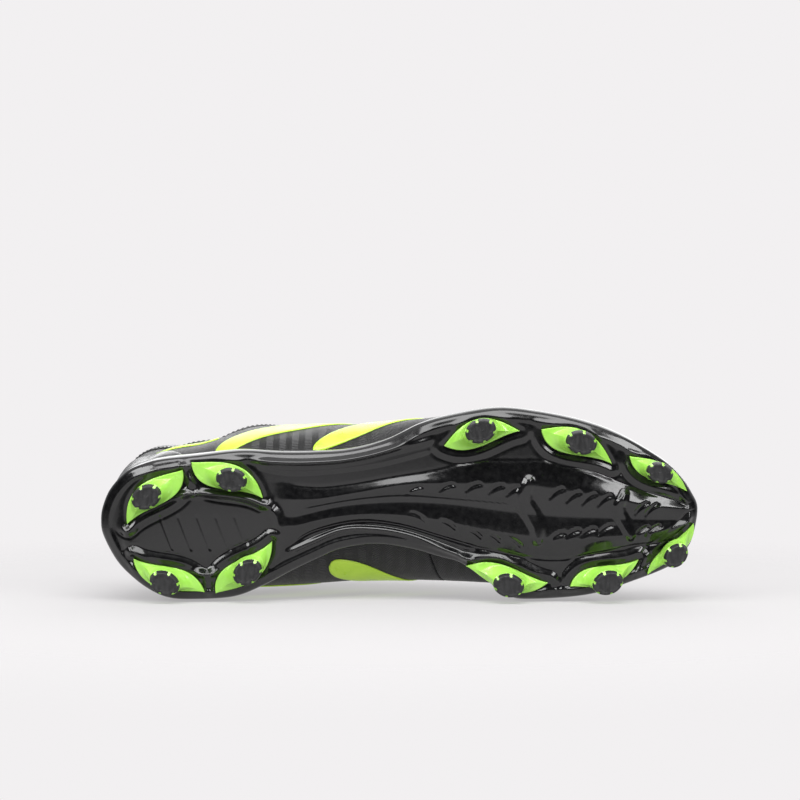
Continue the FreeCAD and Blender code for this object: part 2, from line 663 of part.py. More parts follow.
counter_side = side_prism([(x_at(-0.1), -5), (x_at(-0.1), size("collar_back") * 0.62),
                           (x_at(0.06), size("collar_back") * 0.62), (x_at(0.25), sole_face(0) * 1.9),
                           (x_at(0.27), -5)], -100, 100)
toe_side = side_prism([(x_at(0.9), -5), (x_at(0.93), FAR), (FAR, FAR), (FAR, -5)], -100, 100)
stiffener = layer(SHELL, SHELL + STIFFENER).cut(board_window)
counter = stiffener.common(counter_side)
puff = stiffener.common(toe_side)
keep("heel_counter", counter)
keep("toe_puff", puff)

pad_in = SHELL + size("collar_pad")
collar_zone = above_collar(size("collar_pad_drop")).common(between_x(-FAR, x_at(TONGUE_TIP_SHARE - 0.02)))
foam = layer(SHELL + STIFFENER, pad_in).common(collar_zone).cut(opening).cut(counter)
foam = foam.cut(tongue_prism(1))
keep("collar_foam", foam)

inner_skin = layer(SHELL, LINING_IN).cut(opening).cut(throat).cut(board_window)
inner_skin = inner_skin.cut(counter).cut(puff).cut(foam)
inner_rest = inner_skin.cut(vamp_side)
keep("vamp_lining", inner_skin.common(vamp_side))
keep("quarter_lining_lateral", inner_rest.common(half_space(SEAM_Y, -1)))
keep("quarter_lining_medial", inner_rest.common(half_space(SEAM_Y, 1)))

floor_top = UNDER + LINING_IN + size("board_wall")
under_foot = sole_slab(-10, floor_top)
keep("strobel_board", layer(0, LINING_IN).common(board_window).common(under_foot)
     .fuse(form(LINING_IN).common(under_foot)).removeSplitter())
keep("sockliner", form(LINING_IN).common(sole_slab(floor_top, floor_top + size("sockliner_wall")))
     .cut(foam))

# ---------------------------------------------------------------- overlays

overlay = layer(-OVERLAY, 0).cut(opening).cut(throat)
eyestay_zone = throat_prism(size("eyestay_breadth")).common(between_x(x_at(0.2), FAR))
plate_zone = rim_cut
eyestay = layer(-EYESTAY, 0).cut(opening).cut(throat).common(eyestay_zone)

ROWS = int(size("lace_rows"))


def row_x(k):
    """Rows of lace at even steps between the throat's front and the top eyelets."""
    front = x_at(THROAT_FRONT_SHARE) - size("throat_front")
    back = x_at(TOP_EYELET_SHARE) + size("lace_breadth")
    return front + (back - front) * k / (ROWS - 1)


bores = []
for k in range(ROWS):
    for side in (-1, 1):
        x = row_x(k)
        y = ridge_y(x) + side * (throat_half(x) + size("eyestay_breadth") / 2)
        bores.append(Part.makeCylinder(size("eyelet_bore") / 2, FAR,
                                       Vector(x, y, size("collar_dip") * 0.55), Vector(0, 0, 1)))
bores = Part.makeCompound(bores)
eyestay = eyestay.cut(bores)
keep("eyestay_lateral", eyestay.common(half_space(0, -1)))
keep("eyestay_medial", eyestay.common(half_space(0, 1)))

lace_zone = Part.makeCompound([
    Part.makeBox(size("lace_breadth"), 2 * throat_half(row_x(k)) + size("eyestay_breadth") + 3, FAR,
                 Vector(row_x(k) - size("lace_breadth") / 2,
                        ridge_y(row_x(k)) - throat_half(row_x(k)) - size("eyestay_breadth") / 2 - 1.5,
                        size("collar_dip") * 0.55))
    for k in range(ROWS)])
keep("lace", layer(-EYESTAY - size("lace_wall"), -EYESTAY).common(lace_zone))

collar_zone = above_collar(size("collar_band_drop"))
keep("collar_band", overlay.common(collar_zone).cut(eyestay_zone))
foxing_zone = side_prism([(x_at(-0.1), 0), (x_at(-0.1), size("collar_back") * 0.72),
                          (x_at(0.035), size("collar_back") * 0.72), (x_at(0.13), size("collar_back") * 0.33),
                          (x_at(0.19), 0)], -100, 100)
foxing_zone = foxing_zone.cut(collar_zone)
keep("heel_foxing", overlay.common(foxing_zone).cut(plate_zone))

# Sweeping side bands: closed outlines seen from the side, share of length and share of the collar dip.
BANDS_OUTER = [
    [(0.2, 0.3), (0.3, 0.52), (0.42, 0.83), (0.46, 1.02), (0.38, 0.98), (0.27, 0.68), (0.2, 0.42)],
    [(0.36, 0.36), (0.46, 0.5), (0.56, 0.7), (0.62, 0.82), (0.54, 0.8), (0.44, 0.66), (0.37, 0.46)],
]
BANDS_INNER = [
    [(0.22, 0.34), (0.33, 0.5), (0.44, 0.84), (0.47, 1.02), (0.39, 0.96), (0.29, 0.68), (0.22, 0.46)],
    [(0.39, 0.36), (0.49, 0.5), (0.58, 0.7), (0.63, 0.82), (0.55, 0.78), (0.46, 0.66), (0.39, 0.46)],
]


def band_set(outlines, side):
    zone = Part.makeCompound([
        side_prism([(x_at(s), z * size("collar_dip")) for s, z in ring], 0, side * 100, True)
        for ring in outlines])
    return overlay.common(zone).cut(eyestay_zone).cut(foxing_zone).cut(collar_zone).cut(plate_zone)


keep("side_bands_lateral", band_set(BANDS_OUTER, -1))
keep("side_bands_medial", band_set(BANDS_INNER, 1))

# ---------------------------------------------------------------- tongue

tongue_out = LINING_IN + 0.3
tongue = layer(tongue_out, tongue_out + size("tongue_wall")).common(tongue_prism()).cut(foam)
fold_x = x_at(TOP_EYELET_SHARE) - 6.8
fold_z = size("instep_height") * 1.02 - tongue_out + 0.5
reach = 15 * size("tongue_wall")
slant = reach * 0.13
gap = size("tongue_gap")
front_zone = side_prism([(fold_x, FAR), (fold_x, fold_z), (fold_x, fold_z - reach), (fold_x, -FAR),
                         (FAR, -FAR), (FAR, FAR)], -100, 100)
back_zone = side_prism([(fold_x - gap, FAR), (fold_x - gap, fold_z),
                        (fold_x - gap - slant, fold_z - reach), (fold_x - gap - slant, -FAR),
                        (-FAR, -FAR), (-FAR, FAR)], -100, 100)
keep("tongue_base", tongue.common(front_zone))
keep("tongue_top", tongue.common(back_zone).common(form(tongue_out + size("fold_clear"))))

# ---------------------------------------------------------------- place, check and write

tip_shapes = []
for name in STUDS:
    copy = tips[name][0].Shape.copy()
    copy.Placement = tips[name][3]
    tip_shapes.append(copy)
whole = Part.makeCompound(list(SHAPES.values()) + tip_shapes).optimalBoundingBox(True, False)
shift = Vector(-(whole.XMin + whole.XMax) / 2, -(whole.YMin + whole.YMax) / 2, -whole.ZMin)
print("shift", round(shift.x, 3), round(shift.y, 3), round(shift.z, 3))
print("box", round(whole.XLength, 2), round(whole.YLength, 2), round(whole.ZLength, 2))
mark = tips["ball_lateral_rear"][3].Base + shift
print("mount", round(mark.x, 2), round(mark.y, 2), round(mark.z, 2))
print("tongue fold", round(fold_x + shift.x, 2), round(fold_z + shift.z, 2))

nodes = []
for node, shape in SHAPES.items():
    feature = doc.addObject("Part::Feature", node)
    feature.Label = node
    feature.Shape = shape
    feature.Placement = Placement(shift, Rotation())
    nodes.append(feature)
for name in STUDS:
    cut, body, tools, place = tips[name]
    cut.Placement = Placement(place.Base + shift, place.Rotation)
    nodes.append(cut)
doc.recompute()

for obj in doc.Objects:
    if "Invalid" in obj.State or "Error" in obj.State:
        raise RuntimeError("failed object: " + obj.Label)
for node in nodes:
    if node.Shape.isNull() or not node.Shape.isValid() or not node.Shape.Solids:
        raise RuntimeError("bad shape: " + node.Label)

os.makedirs("parts", exist_ok=True)
for node in nodes:
    node.Shape.exportStep("parts/%s.step" % node.Label)
print("wrote", len(nodes), "nodes")
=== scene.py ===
import json
import math

import bpy
import numpy as np
from mathutils import Matrix, Vector

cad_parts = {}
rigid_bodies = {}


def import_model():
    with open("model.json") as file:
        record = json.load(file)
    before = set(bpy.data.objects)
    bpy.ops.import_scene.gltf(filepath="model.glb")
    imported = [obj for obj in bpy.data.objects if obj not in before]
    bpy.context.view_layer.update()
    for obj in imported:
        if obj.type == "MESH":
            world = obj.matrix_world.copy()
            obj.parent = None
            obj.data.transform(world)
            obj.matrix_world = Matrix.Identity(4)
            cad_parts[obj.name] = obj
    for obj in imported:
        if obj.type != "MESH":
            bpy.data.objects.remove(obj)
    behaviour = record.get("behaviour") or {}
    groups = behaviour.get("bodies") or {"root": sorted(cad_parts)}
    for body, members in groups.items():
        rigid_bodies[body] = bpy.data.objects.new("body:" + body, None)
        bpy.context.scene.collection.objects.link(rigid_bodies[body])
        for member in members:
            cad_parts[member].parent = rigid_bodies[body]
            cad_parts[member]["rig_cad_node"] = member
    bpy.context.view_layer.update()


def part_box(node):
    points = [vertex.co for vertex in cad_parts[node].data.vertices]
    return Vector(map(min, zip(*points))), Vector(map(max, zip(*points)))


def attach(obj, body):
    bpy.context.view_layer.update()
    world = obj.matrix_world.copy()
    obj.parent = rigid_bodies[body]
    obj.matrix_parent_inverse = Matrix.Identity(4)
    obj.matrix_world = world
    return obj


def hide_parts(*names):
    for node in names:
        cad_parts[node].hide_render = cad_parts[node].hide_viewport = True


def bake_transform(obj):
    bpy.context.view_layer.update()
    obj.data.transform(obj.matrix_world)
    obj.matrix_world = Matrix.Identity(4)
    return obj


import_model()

# The soccer cleat's looks. Shapes are worked out in millimetres about the sole's own axis
# (X heel to toe, +Y inner side, +Z up, ground at 0) and moved into the frame when they are made.

MM = 0.001
LENGTH = 288.0
plate_low, plate_high = (np.array(corner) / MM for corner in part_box("outsole_plate"))
AXIS_SHIFT = np.array([(plate_low[0] + plate_high[0]) / 2, plate_low[1] + 51.9, 0.0])
SHOE, FLAP = "shoe", "tongue_flap"


def x_at(share):
    return (share - 0.5) * LENGTH


# ---------------------------------------------------------------- curves and grids

def curve(points):
    """Cubic through (x, y) pairs as a function of an array, straight on beyond the ends.

    Each span is a cubic Hermite between two points, with slopes from the neighbours' chord.
    """
    px, py = np.array(points, float).T
    slope = np.gradient(py, px)

    def value(x):
        x = np.asarray(x, float)
        k = np.clip(np.searchsorted(px, x) - 1, 0, len(px) - 2)
        step = px[k + 1] - px[k]
        t = np.clip((x - px[k]) / step, 0, 1)
        return ((2 * t**3 - 3 * t**2 + 1) * py[k] + (t**3 - 2 * t**2 + t) * slope[k] * step
                + (3 * t**2 - 2 * t**3) * py[k + 1] + (t**3 - t**2) * slope[k + 1] * step)

    return value


def closed_curve(points, count):
    """Closed Catmull-Rom curve through points, resampled to even arc length."""
    p = np.array(points, float)
    t = np.linspace(0, 1, 24, endpoint=False)[:, None, None]
    a, b, c, d = (np.roll(p, s, axis=0)[None] for s in (1, 0, -1, -2))
    fine = 0.5 * (2 * b + (c - a) * t + (2 * a - 5 * b + 4 * c - d) * t**2
                  + (3 * b - a - 3 * c + d) * t**3)
    return even(fine.transpose(1, 0, 2).reshape(-1, p.shape[1]), count, closed=True)


def even(line, count, closed=False):
    """Points at even arc length along a polyline."""
    if closed:
        line = np.vstack([line, line[:1]])
    reach = np.concatenate([[0], np.cumsum(np.linalg.norm(np.diff(line, axis=0), axis=1))])
    at = np.linspace(0, reach[-1], count, endpoint=not closed)
    return np.stack([np.interp(at, reach, line[:, k]) for k in range(line.shape[1])], axis=1)


def step(low, high, x):
    """Smooth 0 to 1 between low and high."""
    t = np.clip((np.asarray(x, float) - low) / (high - low), 0, 1)
    return t * t * (3 - 2 * t)


def bump(x, width):
    """Bell of height 1: exp of minus (x / width) squared."""
    return np.exp(-(x / width) ** 2)


def distance_to(line, x, y):
    """Distance from every point to a polyline, the least over its straight pieces."""
    best = np.full(np.shape(x), 1e9)
    for (ax, ay), (bx, by) in zip(line[:-1], line[1:]):
        ux, uy = bx - ax, by - ay
        t = np.clip(((x - ax) * ux + (y - ay) * uy) / max(ux * ux + uy * uy, 1e-9), 0, 1)
        best = np.minimum(best, (x - ax - t * ux) ** 2 + (y - ay - t * uy) ** 2)
    return np.sqrt(best)


def inside(line, x, y):
    """True where a point lies in a closed polyline, by counting crossings."""
    hit = np.zeros(np.shape(x), bool)
    for (ax, ay), (bx, by) in zip(line, np.roll(line, -1, axis=0)):
        if ay != by:
            hit ^= ((ay > y) != (by > y)) & (x < (bx - ax) * (y - ay) / (by - ay) + ax)
    return hit


def turned(xy, degrees):
    a = math.radians(degrees)
    return xy @ np.array([[math.cos(a), math.sin(a)], [-math.sin(a), math.cos(a)]])


def make(name, verts, faces, material, body=SHOE, uv=None, smooth=True):
    """A mesh object from millimetre points; uv gives one pair per vertex, in millimetres."""
    mesh = bpy.data.meshes.new(name)
    mesh.from_pydata([], [], [])
    verts = (np.asarray(verts, float) + AXIS_SHIFT) * MM
    faces = np.asarray(faces, np.int32)
    mesh.vertices.add(len(verts))
    mesh.vertices.foreach_set("co", verts.ravel())
    mesh.loops.add(faces.size)
    mesh.loops.foreach_set("vertex_index", faces.ravel())
    mesh.polygons.add(len(faces))
    mesh.polygons.foreach_set("loop_start", np.arange(0, faces.size, faces.shape[1], dtype=np.int32))
    mesh.update(calc_edges=True)
    if uv is not None:
        layer = mesh.uv_layers.new(name="UVMap")
        layer.data.foreach_set("uv", np.asarray(uv, float)[faces.ravel()].ravel())
    mesh.validate()
    mesh.polygons.foreach_set("use_smooth", np.full(len(mesh.polygons), smooth))
    mesh.materials.append(material)
    obj = bpy.data.objects.new(name, mesh)
    bpy.context.scene.collection.objects.link(obj)
    if body:
        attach(obj, body)
    return obj


def grid_faces(rows, cols, wrap=False, first=0, flip=False):
    """Quads of a rows x cols grid of vertices; wrap joins the last column to the first."""
    r = np.arange(rows - 1)[:, None]
    c = np.arange(cols if wrap else cols - 1)[None, :]
    n = (c + 1) % cols
    a, b = r * cols + c, r * cols + n
    d, e = (r + 1) * cols + c, (r + 1) * cols + n
    quads = np.stack([a, b, e, d], axis=-1).reshape(-1, 4) + first
    return quads[:, ::-1] if flip else quads


def tidy(obj, merge=0.00002):
    """Merge doubles and make the faces of a closed form point outwards."""
    import bmesh
    bm = bmesh.new()
    bm.from_mesh(obj.data)
    bmesh.ops.remove_doubles(bm, verts=bm.verts, dist=merge)
    bmesh.ops.recalc_face_normals(bm, faces=bm.faces)
    bm.to_mesh(obj.data)
    bm.free()
    return obj


# ---------------------------------------------------------------- camera, floor and light

AIM = Vector((AXIS_SHIFT[0], AXIS_SHIFT[1], 14.0)) * MM
TILT = math.radians(10.0)
FLOOR_TILT = math.radians(6.0)
BACKDROP = (0.887, 0.871, 0.879)
PAPER, PAPER_GLOW = 0.26, 0.43
FOCAL = 110.0
DISTANCE = 1.173
RAISE = 0.0557
FLOOR_UP = Vector((0, -math.cos(FLOOR_TILT), math.sin(FLOOR_TILT)))


def camera():
    """Square on to the sole, tipped a little, with the shoe low in the frame."""
    towards = Vector((0, -math.sin(TILT), -math.cos(TILT)))
    up = Vector((0, -math.cos(TILT), math.sin(TILT)))
    place = AIM + towards * DISTANCE
    forward = (AIM + up * RAISE - place).normalized()
    right = forward.cross(up).normalized()
    data = bpy.data.cameras.new("camera")
    data.lens = FOCAL
    data.sensor_width = 36
    data.clip_start = 0.01
    obj = bpy.data.objects.new("camera", data)
    turn = Matrix((right, right.cross(forward), -forward)).transposed().to_4x4()
    obj.matrix_world = Matrix.Translation(place) @ turn
    bpy.context.scene.collection.objects.link(obj)
    bpy.context.scene.camera = obj


def floor():
    """The paper that the inner side of the shoe lies on: it fades into the background all round
    and is clear from behind."""
    contact = Vector((AIM.x, plate_high[1] * MM + 0.0006, 0.0135))
    along = Vector((0, FLOOR_UP.z, -FLOOR_UP.y))
    corners = [contact + Vector((sx * 0.8, 0, 0)) + along * sz for sx, sz in
               ((-1, -0.8), (1, -0.8), (1, 0.8), (-1, 0.8))]
    mesh = bpy.data.meshes.new("floor")
    mesh.from_pydata(corners, [], [(0, 1, 2, 3)])
    material = bpy.data.materials.new("floor_paper")
    material.use_nodes = True
    tree = material.node_tree
    tree.nodes.remove(tree.nodes["Principled BSDF"])

    def node(kind, **inputs):
        made = tree.nodes.new("ShaderNode" + kind)
        for key, value in inputs.items():
            made.inputs[key].default_value = value
        return made

    paper = node("BsdfDiffuse", Color=(PAPER, PAPER * 0.982, PAPER * 0.991, 1))
    glow = node("Emission", Color=(*BACKDROP, 1), Strength=PAPER_GLOW)
    both = node("AddShader")
    clear = node("BsdfTransparent")
    mix = node("MixShader")
    place = node("TexCoord")
    reach = node("VectorMath")
    reach.operation = "DISTANCE"
    reach.inputs[1].default_value = contact + along * 0.04
    fade = node("MapRange", **{"From Min": 0.17, "From Max": 0.42})
    fade.interpolation_type = "SMOOTHSTEP"
    facing = node("NewGeometry")
    most = node("Math")
    most.operation = "MAXIMUM"
    for start, end in ((paper.outputs[0], both.inputs[0]), (glow.outputs[0], both.inputs[1]),
                       (place.outputs["Object"], reach.inputs[0]), (reach.outputs["Value"], fade.inputs["Value"]),
                       (fade.outputs["Result"], most.inputs[0]), (facing.outputs["Backfacing"], most.inputs[1]),
                       (most.outputs[0], mix.inputs[0]), (both.outputs[0], mix.inputs[1]),
                       (clear.outputs[0], mix.inputs[2]), (mix.outputs[0], tree.nodes["Material Output"].inputs[0])):
        tree.links.new(start, end)
    mesh.materials.append(material)
    obj = bpy.data.objects.new("floor", mesh)
    bpy.context.scene.collection.objects.link(obj)


def soft_light(name, direction, distance, size, power, tall=None):
    """A rectangle light looking at the shoe, unseen by the camera."""
    data = bpy.data.lights.new(name, "AREA")
    data.shape = "RECTANGLE"
    data.size = size
    data.size_y = tall or size
    data.energy = power
    obj = bpy.data.objects.new(name, data)
    away = Vector(direction).normalized()
    obj.location = AIM + away * distance
    obj.rotation_euler = away.to_track_quat("Z", "Y").to_euler()
    obj.visible_camera = False
    bpy.context.scene.collection.objects.link(obj)


def world():
    """Pale to the camera; to everything else a studio: lit paper below, dark room in front."""
    w = bpy.data.worlds.new("studio")
    bpy.context.scene.world = w
    w.use_nodes = True
    tree = w.node_tree
    tree.nodes.clear()
    out = tree.nodes.new("ShaderNodeOutputWorld")
    mix = tree.nodes.new("ShaderNodeMixShader")
    ray = tree.nodes.new("ShaderNodeLightPath")
    seen = tree.nodes.new("ShaderNodeBackground")
    seen.inputs["Color"].default_value = (*BACKDROP, 1)
    lit = tree.nodes.new("ShaderNodeBackground")
    coords = tree.nodes.new("ShaderNodeTexCoord")
    dot = tree.nodes.new("ShaderNodeVectorMath")
    dot.operation = "DOT_PRODUCT"
    dot.inputs[1].default_value = FLOOR_UP
    ramp = tree.nodes.new("ShaderNodeValToRGB")
    span = tree.nodes.new("ShaderNodeMapRange")
    span.inputs["From Min"].default_value = -1
    tree.links.new(coords.outputs["Generated"], dot.inputs[0])
    tree.links.new(dot.outputs["Value"], span.inputs["Value"])
    tree.links.new(span.outputs["Result"], ramp.inputs["Fac"])
    stops = ((0.0, 0.2), (0.4, 0.16), (0.47, 0.11), (0.5, 0.02), (0.62, 0.012), (0.75, 0.05), (0.9, 0.7),
             (1.0, 1.1))
    while len(ramp.color_ramp.elements) < len(stops):
        ramp.color_ramp.elements.new(0.5)
    for element, (place, level) in zip(ramp.color_ramp.elements, stops):
        element.position = place
        element.color = (level, level, level, 1)
    side = tree.nodes.new("ShaderNodeVectorMath")
    side.operation = "DOT_PRODUCT"
    side.inputs[1].default_value = (0, 0, 1)
    back = tree.nodes.new("ShaderNodeMapRange")
    back.inputs["From Min"].default_value = 0.0
    back.inputs["From Max"].default_value = 0.5
    tree.links.new(coords.outputs["Generated"], side.inputs[0])
    tree.links.new(side.outputs["Value"], back.inputs["Value"])
    blend = tree.nodes.new("ShaderNodeMix")
    blend.data_type = "RGBA"
    blend.blend_type = "LIGHTEN"
    blend.inputs[0].default_value = 1.0
    glow = tree.nodes.new("ShaderNodeMix")
    glow.data_type = "RGBA"
    glow.inputs[6].default_value = (0, 0, 0, 1)
    glow.inputs[7].default_value = (0.34, 0.34, 0.345, 1)
    tree.links.new(back.outputs["Result"], glow.inputs[0])
    tree.links.new(ramp.outputs["Color"], blend.inputs[6])
    tree.links.new(glow.outputs[2], blend.inputs[7])
    tree.links.new(blend.outputs[2], lit.inputs["Color"])
    tree.links.new(ray.outputs["Is Camera Ray"], mix.inputs["Fac"])
    tree.links.new(lit.outputs[0], mix.inputs[1])
    tree.links.new(seen.outputs[0], mix.inputs[2])
    tree.links.new(mix.outputs[0], out.inputs["Surface"])


def lights():
    soft_light("overhead_box", (0.0, -1.0, -0.42), 1.2, 1.5, 17, 0.7)
    soft_light("left_strip", (-0.9, -0.75, -0.6), 1.2, 0.3, 7, 0.9)
    soft_light("right_strip", (0.9, -0.7, -0.7), 1.2, 0.25, 6, 0.9)
    soft_light("back_fill", (0.1, -0.5, 1.0), 1.4, 1.3, 12)
    bpy.context.scene.view_settings.view_transform = "Standard"
    bpy.context.scene.view_settings.look = "None"


# ---------------------------------------------------------------- materials

def new_material(name, colour, roughness, **sockets):
    """A Principled material; keyword names are socket names with underscores for spaces."""
    material = bpy.data.materials.new(name)
    material.use_nodes = True
    shader = material.node_tree.nodes["Principled BSDF"]
    shader.inputs["Base Color"].default_value = (*colour, 1)
    shader.inputs["Roughness"].default_value = roughness
    for key, value in sockets.items():
        shader.inputs[key.replace("_", " ")].default_value = value
    return material


class Wiring:
    """Short names for adding nodes to one material."""

    def __init__(self, material):
        self.tree = material.node_tree
        self.shader = self.tree.nodes["Principled BSDF"]
        self.coords = self.tree.nodes.new("ShaderNodeTexCoord")

    def node(self, kind, **inputs):
        n = self.tree.nodes.new("ShaderNode" + kind)
        for key, value in inputs.items():
            n.inputs[key.replace("_", " ")].default_value = value
        return n

    def link(self, a, b):
        self.tree.links.new(a, b)

    def noise(self, scale, detail=3.0, source="Object", stretch=None):
        n = self.node("TexNoise", Scale=scale, Detail=detail)
        start = self.coords.outputs[source]
        if stretch:
            m = self.node("Mapping", Scale=stretch)
            self.link(start, m.inputs["Vector"])
            start = m.outputs["Vector"]
        self.link(start, n.inputs["Vector"])
        return n.outputs["Fac"]

    def ramp(self, value, *stops):
        r = self.tree.nodes.new("ShaderNodeValToRGB")
        while len(r.color_ramp.elements) < len(stops):
            r.color_ramp.elements.new(0.5)
        for element, (place, colour) in zip(r.color_ramp.elements, stops):
            element.position = place
            element.color = (*colour, 1) if len(colour) == 3 else colour
        self.link(value, r.inputs["Fac"])
        return r.outputs["Color"]

    def colour(self, value, *stops):
        self.link(self.ramp(value, *stops), self.shader.inputs["Base Color"])

    def range(self, value, low, high, start=0.0, end=1.0):
        m = self.node("MapRange", From_Min=start, From_Max=end, To_Min=low, To_Max=high)
        self.link(value, m.inputs["Value"])
        return m.outputs["Result"]

    def roughness(self, value, low, high):
        self.link(self.range(value, low, high, 0.3, 0.7), self.shader.inputs["Roughness"])

    def bumps(self, *layers):
        """Each layer is (height value, strength, distance in metres); they stack."""
        last = None
        for value, strength, distance in layers:
            b = self.node("Bump", Strength=strength, Distance=distance)
            self.link(value, b.inputs["Height"])
            if last:
                self.link(last, b.inputs["Normal"])
            last = b.outputs["Normal"]
        self.link(last, self.shader.inputs["Normal"])


def plate_plastic():
    """Glossy black moulded plastic with faint flow waves and fine handling haze."""
    m = new_material("plate_plastic", (0.006, 0.006, 0.0065), 0.13, Coat_Weight=0.35, Coat_Roughness=0.04)
    w = Wiring(m)
    haze = w.noise(420, 4)
    w.colour(haze, (0.35, (0.004, 0.004, 0.0045)), (0.75, (0.009, 0.009, 0.0095)))
    w.roughness(haze, 0.10, 0.22)
    w.bumps((w.noise(60, 2), 0.12, 0.0006), (w.noise(1500, 2), 0.05, 0.00008))
    return m


def pad_plastic():
    """Lime green glossy plastic that glows a little, as thin bright plastic does."""
    m = new_material("pad_plastic", (0.36, 0.74, 0.1), 0.22, Coat_Weight=0.3, Coat_Roughness=0.08,
                     Subsurface_Weight=0.12, Subsurface_Scale=0.002)
    m.node_tree.nodes["Principled BSDF"].inputs["Subsurface Radius"].default_value = (0.8, 1.0, 0.3)
    w = Wiring(m)
    cloud = w.noise(180, 3)
    w.colour(cloud, (0.3, (0.33, 0.7, 0.085)), (0.7, (0.4, 0.78, 0.12)))
    w.roughness(cloud, 0.17, 0.3)
    w.bumps((w.noise(900, 2), 0.06, 0.0001))
    return m


def tip_plastic():
    """Matte black, finely grained and a little scuffed all over."""
    m = new_material("tip_plastic", (0.014, 0.014, 0.015), 0.55)
    w = Wiring(m)
    grain = w.noise(2600, 3)
    scuff = w.noise(700, 5, stretch=(1, 0.25, 1))
    w.colour(scuff, (0.4, (0.010, 0.010, 0.011)), (0.8, (0.035, 0.035, 0.036)))
    w.roughness(scuff, 0.45, 0.7)
    w.bumps((grain, 0.5, 0.00025), (scuff, 0.3, 0.0002))
    return m


def weave(w, pitch, zigzag, period):
    """Herringbone height from the piece's own UV: rows that turn back at even steps."""
    sep = w.node("SeparateXYZ")
    w.link(w.coords.outputs["UV"], sep.inputs["Vector"])

    def math_node(kind, a, b=None):
        n = w.node("Math")
        n.operation = kind
        for k, value in enumerate((a, b)):
            if value is None:
                continue
            if isinstance(value, (int, float)):
                n.inputs[k].default_value = value
            else:
                w.link(value, n.inputs[k])
        return n.outputs[0]

    turn = math_node("PINGPONG", sep.outputs["X"], period)
    lean = math_node("MULTIPLY", turn, zigzag)
    row = math_node("ADD", sep.outputs["Y"], lean)
    return math_node("SINE", math_node("MULTIPLY", row, 2 * math.pi / pitch))


def knit_cloth():
    """Fine black herringbone knit under a thin skin; its ridge tops are painted paler (painted highlight) and its
    hollows darker (painted shade), both by the weave's own height.
    """
    m = new_material("upper_knit", (0.007, 0.007, 0.0075), 0.5, Sheen_Weight=0.05, Sheen_Roughness=0.4,
                     Coat_Weight=0.12, Coat_Roughness=0.3)
    w = Wiring(m)
    rows = weave(w, 0.0011, 1.0, 0.0034)
    fine = w.noise(900, 3)
    cloud = w.noise(45, 3)
    # Colour follows the weave height: paler ridge tops are a painted highlight, darker hollows are painted shade.
    w.colour(w.range(rows, 0.2, 0.8, -1, 1), (0.2, (0.004, 0.004, 0.0045)), (0.8, (0.014, 0.014, 0.015)))
    w.roughness(cloud, 0.36, 0.58)
    w.bumps((rows, 0.7, 0.00028), (fine, 0.25, 0.00012), (cloud, 0.15, 0.0006))
    return m


def film(name, colour, dark, rough, **more):
    """Thin fused film: smooth, faintly rippled, over the knit that prints through it."""
    m = new_material(name, colour, rough, Coat_Weight=0.25, Coat_Roughness=0.12, **more)
    w = Wiring(m)
    rows = weave(w, 0.0011, 1.0, 0.0034)
    cloud = w.noise(120, 3)
    w.colour(cloud, (0.3, dark), (0.7, colour))
    w.roughness(cloud, rough * 0.8, rough * 1.3)
    w.bumps((rows, 0.16, 0.00012), (w.noise(1600, 2), 0.1, 0.00006), (cloud, 0.15, 0.0003))
    return m


def cloth(name, dark, light, scale=0.0012, rough=0.85, depth=0.0003):
    """Warp-and-weft textile by two crossed waves on the UV, with fuzz."""
    m = new_material(name, light, rough, Sheen_Weight=0.35, Sheen_Roughness=0.5)
    w = Wiring(m)
    rows = weave(w, scale, 0.0, 1.0)
    sep = w.node("SeparateXYZ")
    w.link(w.coords.outputs["UV"], sep.inputs["Vector"])
    wave = w.node("Math")
    wave.operation = "MULTIPLY"
    wave.inputs[1].default_value = 2 * math.pi / scale
    w.link(sep.outputs["X"], wave.inputs[0])
    sine = w.node("Math")
    sine.operation = "SINE"
    w.link(wave.outputs[0], sine.inputs[0])
    both = w.node("Math")
    both.operation = "MULTIPLY"
    w.link(rows, both.inputs[0])
    w.link(sine.outputs[0], both.inputs[1])
    fuzz = w.noise(1400, 4)
    cloud = w.noise(70, 3)
    w.colour(w.range(both.outputs[0], 0, 1, -1, 1), (0.1, dark), (0.9, light))
    w.roughness(cloud, rough * 0.85, min(rough * 1.1, 1))
    w.bumps((both.outputs[0], 0.6, depth), (fuzz, 0.35, 0.0002), (cloud, 0.2, 0.0006))
    return m


def solid_cloth(name, dark, light, rough=0.9, grain=900):
    """Fibre board or felt on a plain piece: speckle from the object's own place."""
    m = new_material(name, light, rough)
    w = Wiring(m)
    speck = w.noise(grain, 4)
    w.colour(speck, (0.35, dark), (0.7, light))
    w.roughness(w.noise(120, 3), rough * 0.85, min(1, rough * 1.08))
    w.bumps((speck, 0.5, 0.0003), (w.noise(grain * 3, 2), 0.25, 0.0001))
    return m


PLATE = plate_plastic()
PAD = pad_plastic()
TIP = tip_plastic()
KNIT = knit_cloth()
STAY_FILM = film("eyestay_film", (0.016, 0.016, 0.017), (0.009, 0.009, 0.01), 0.34)
FILM = film("black_film", (0.013, 0.013, 0.014), (0.008, 0.008, 0.009), 0.2)
GREEN_FILM = film("green_film", (0.53, 0.8, 0.05), (0.45, 0.73, 0.03), 0.34)
MESH_LINING = cloth("mesh_lining", (0.006, 0.006, 0.007), (0.03, 0.03, 0.032), 0.0016)
COLLAR_CLOTH = cloth("collar_cloth", (0.008, 0.008, 0.009), (0.028, 0.028, 0.03), 0.0011)
TONGUE_CLOTH = cloth("tongue_cloth", (0.007, 0.007, 0.008), (0.026, 0.026, 0.028), 0.0014)
LACE = cloth("lace_weave", (0.006, 0.006, 0.007), (0.035, 0.035, 0.037), 0.0009, 0.75)
THREAD = solid_cloth("thread", (0.014, 0.014, 0.015), (0.05, 0.05, 0.052), 0.6, 3000)
BOARD = solid_cloth("fibre_board", (0.32, 0.3, 0.27), (0.55, 0.52, 0.48), 0.9, 700)
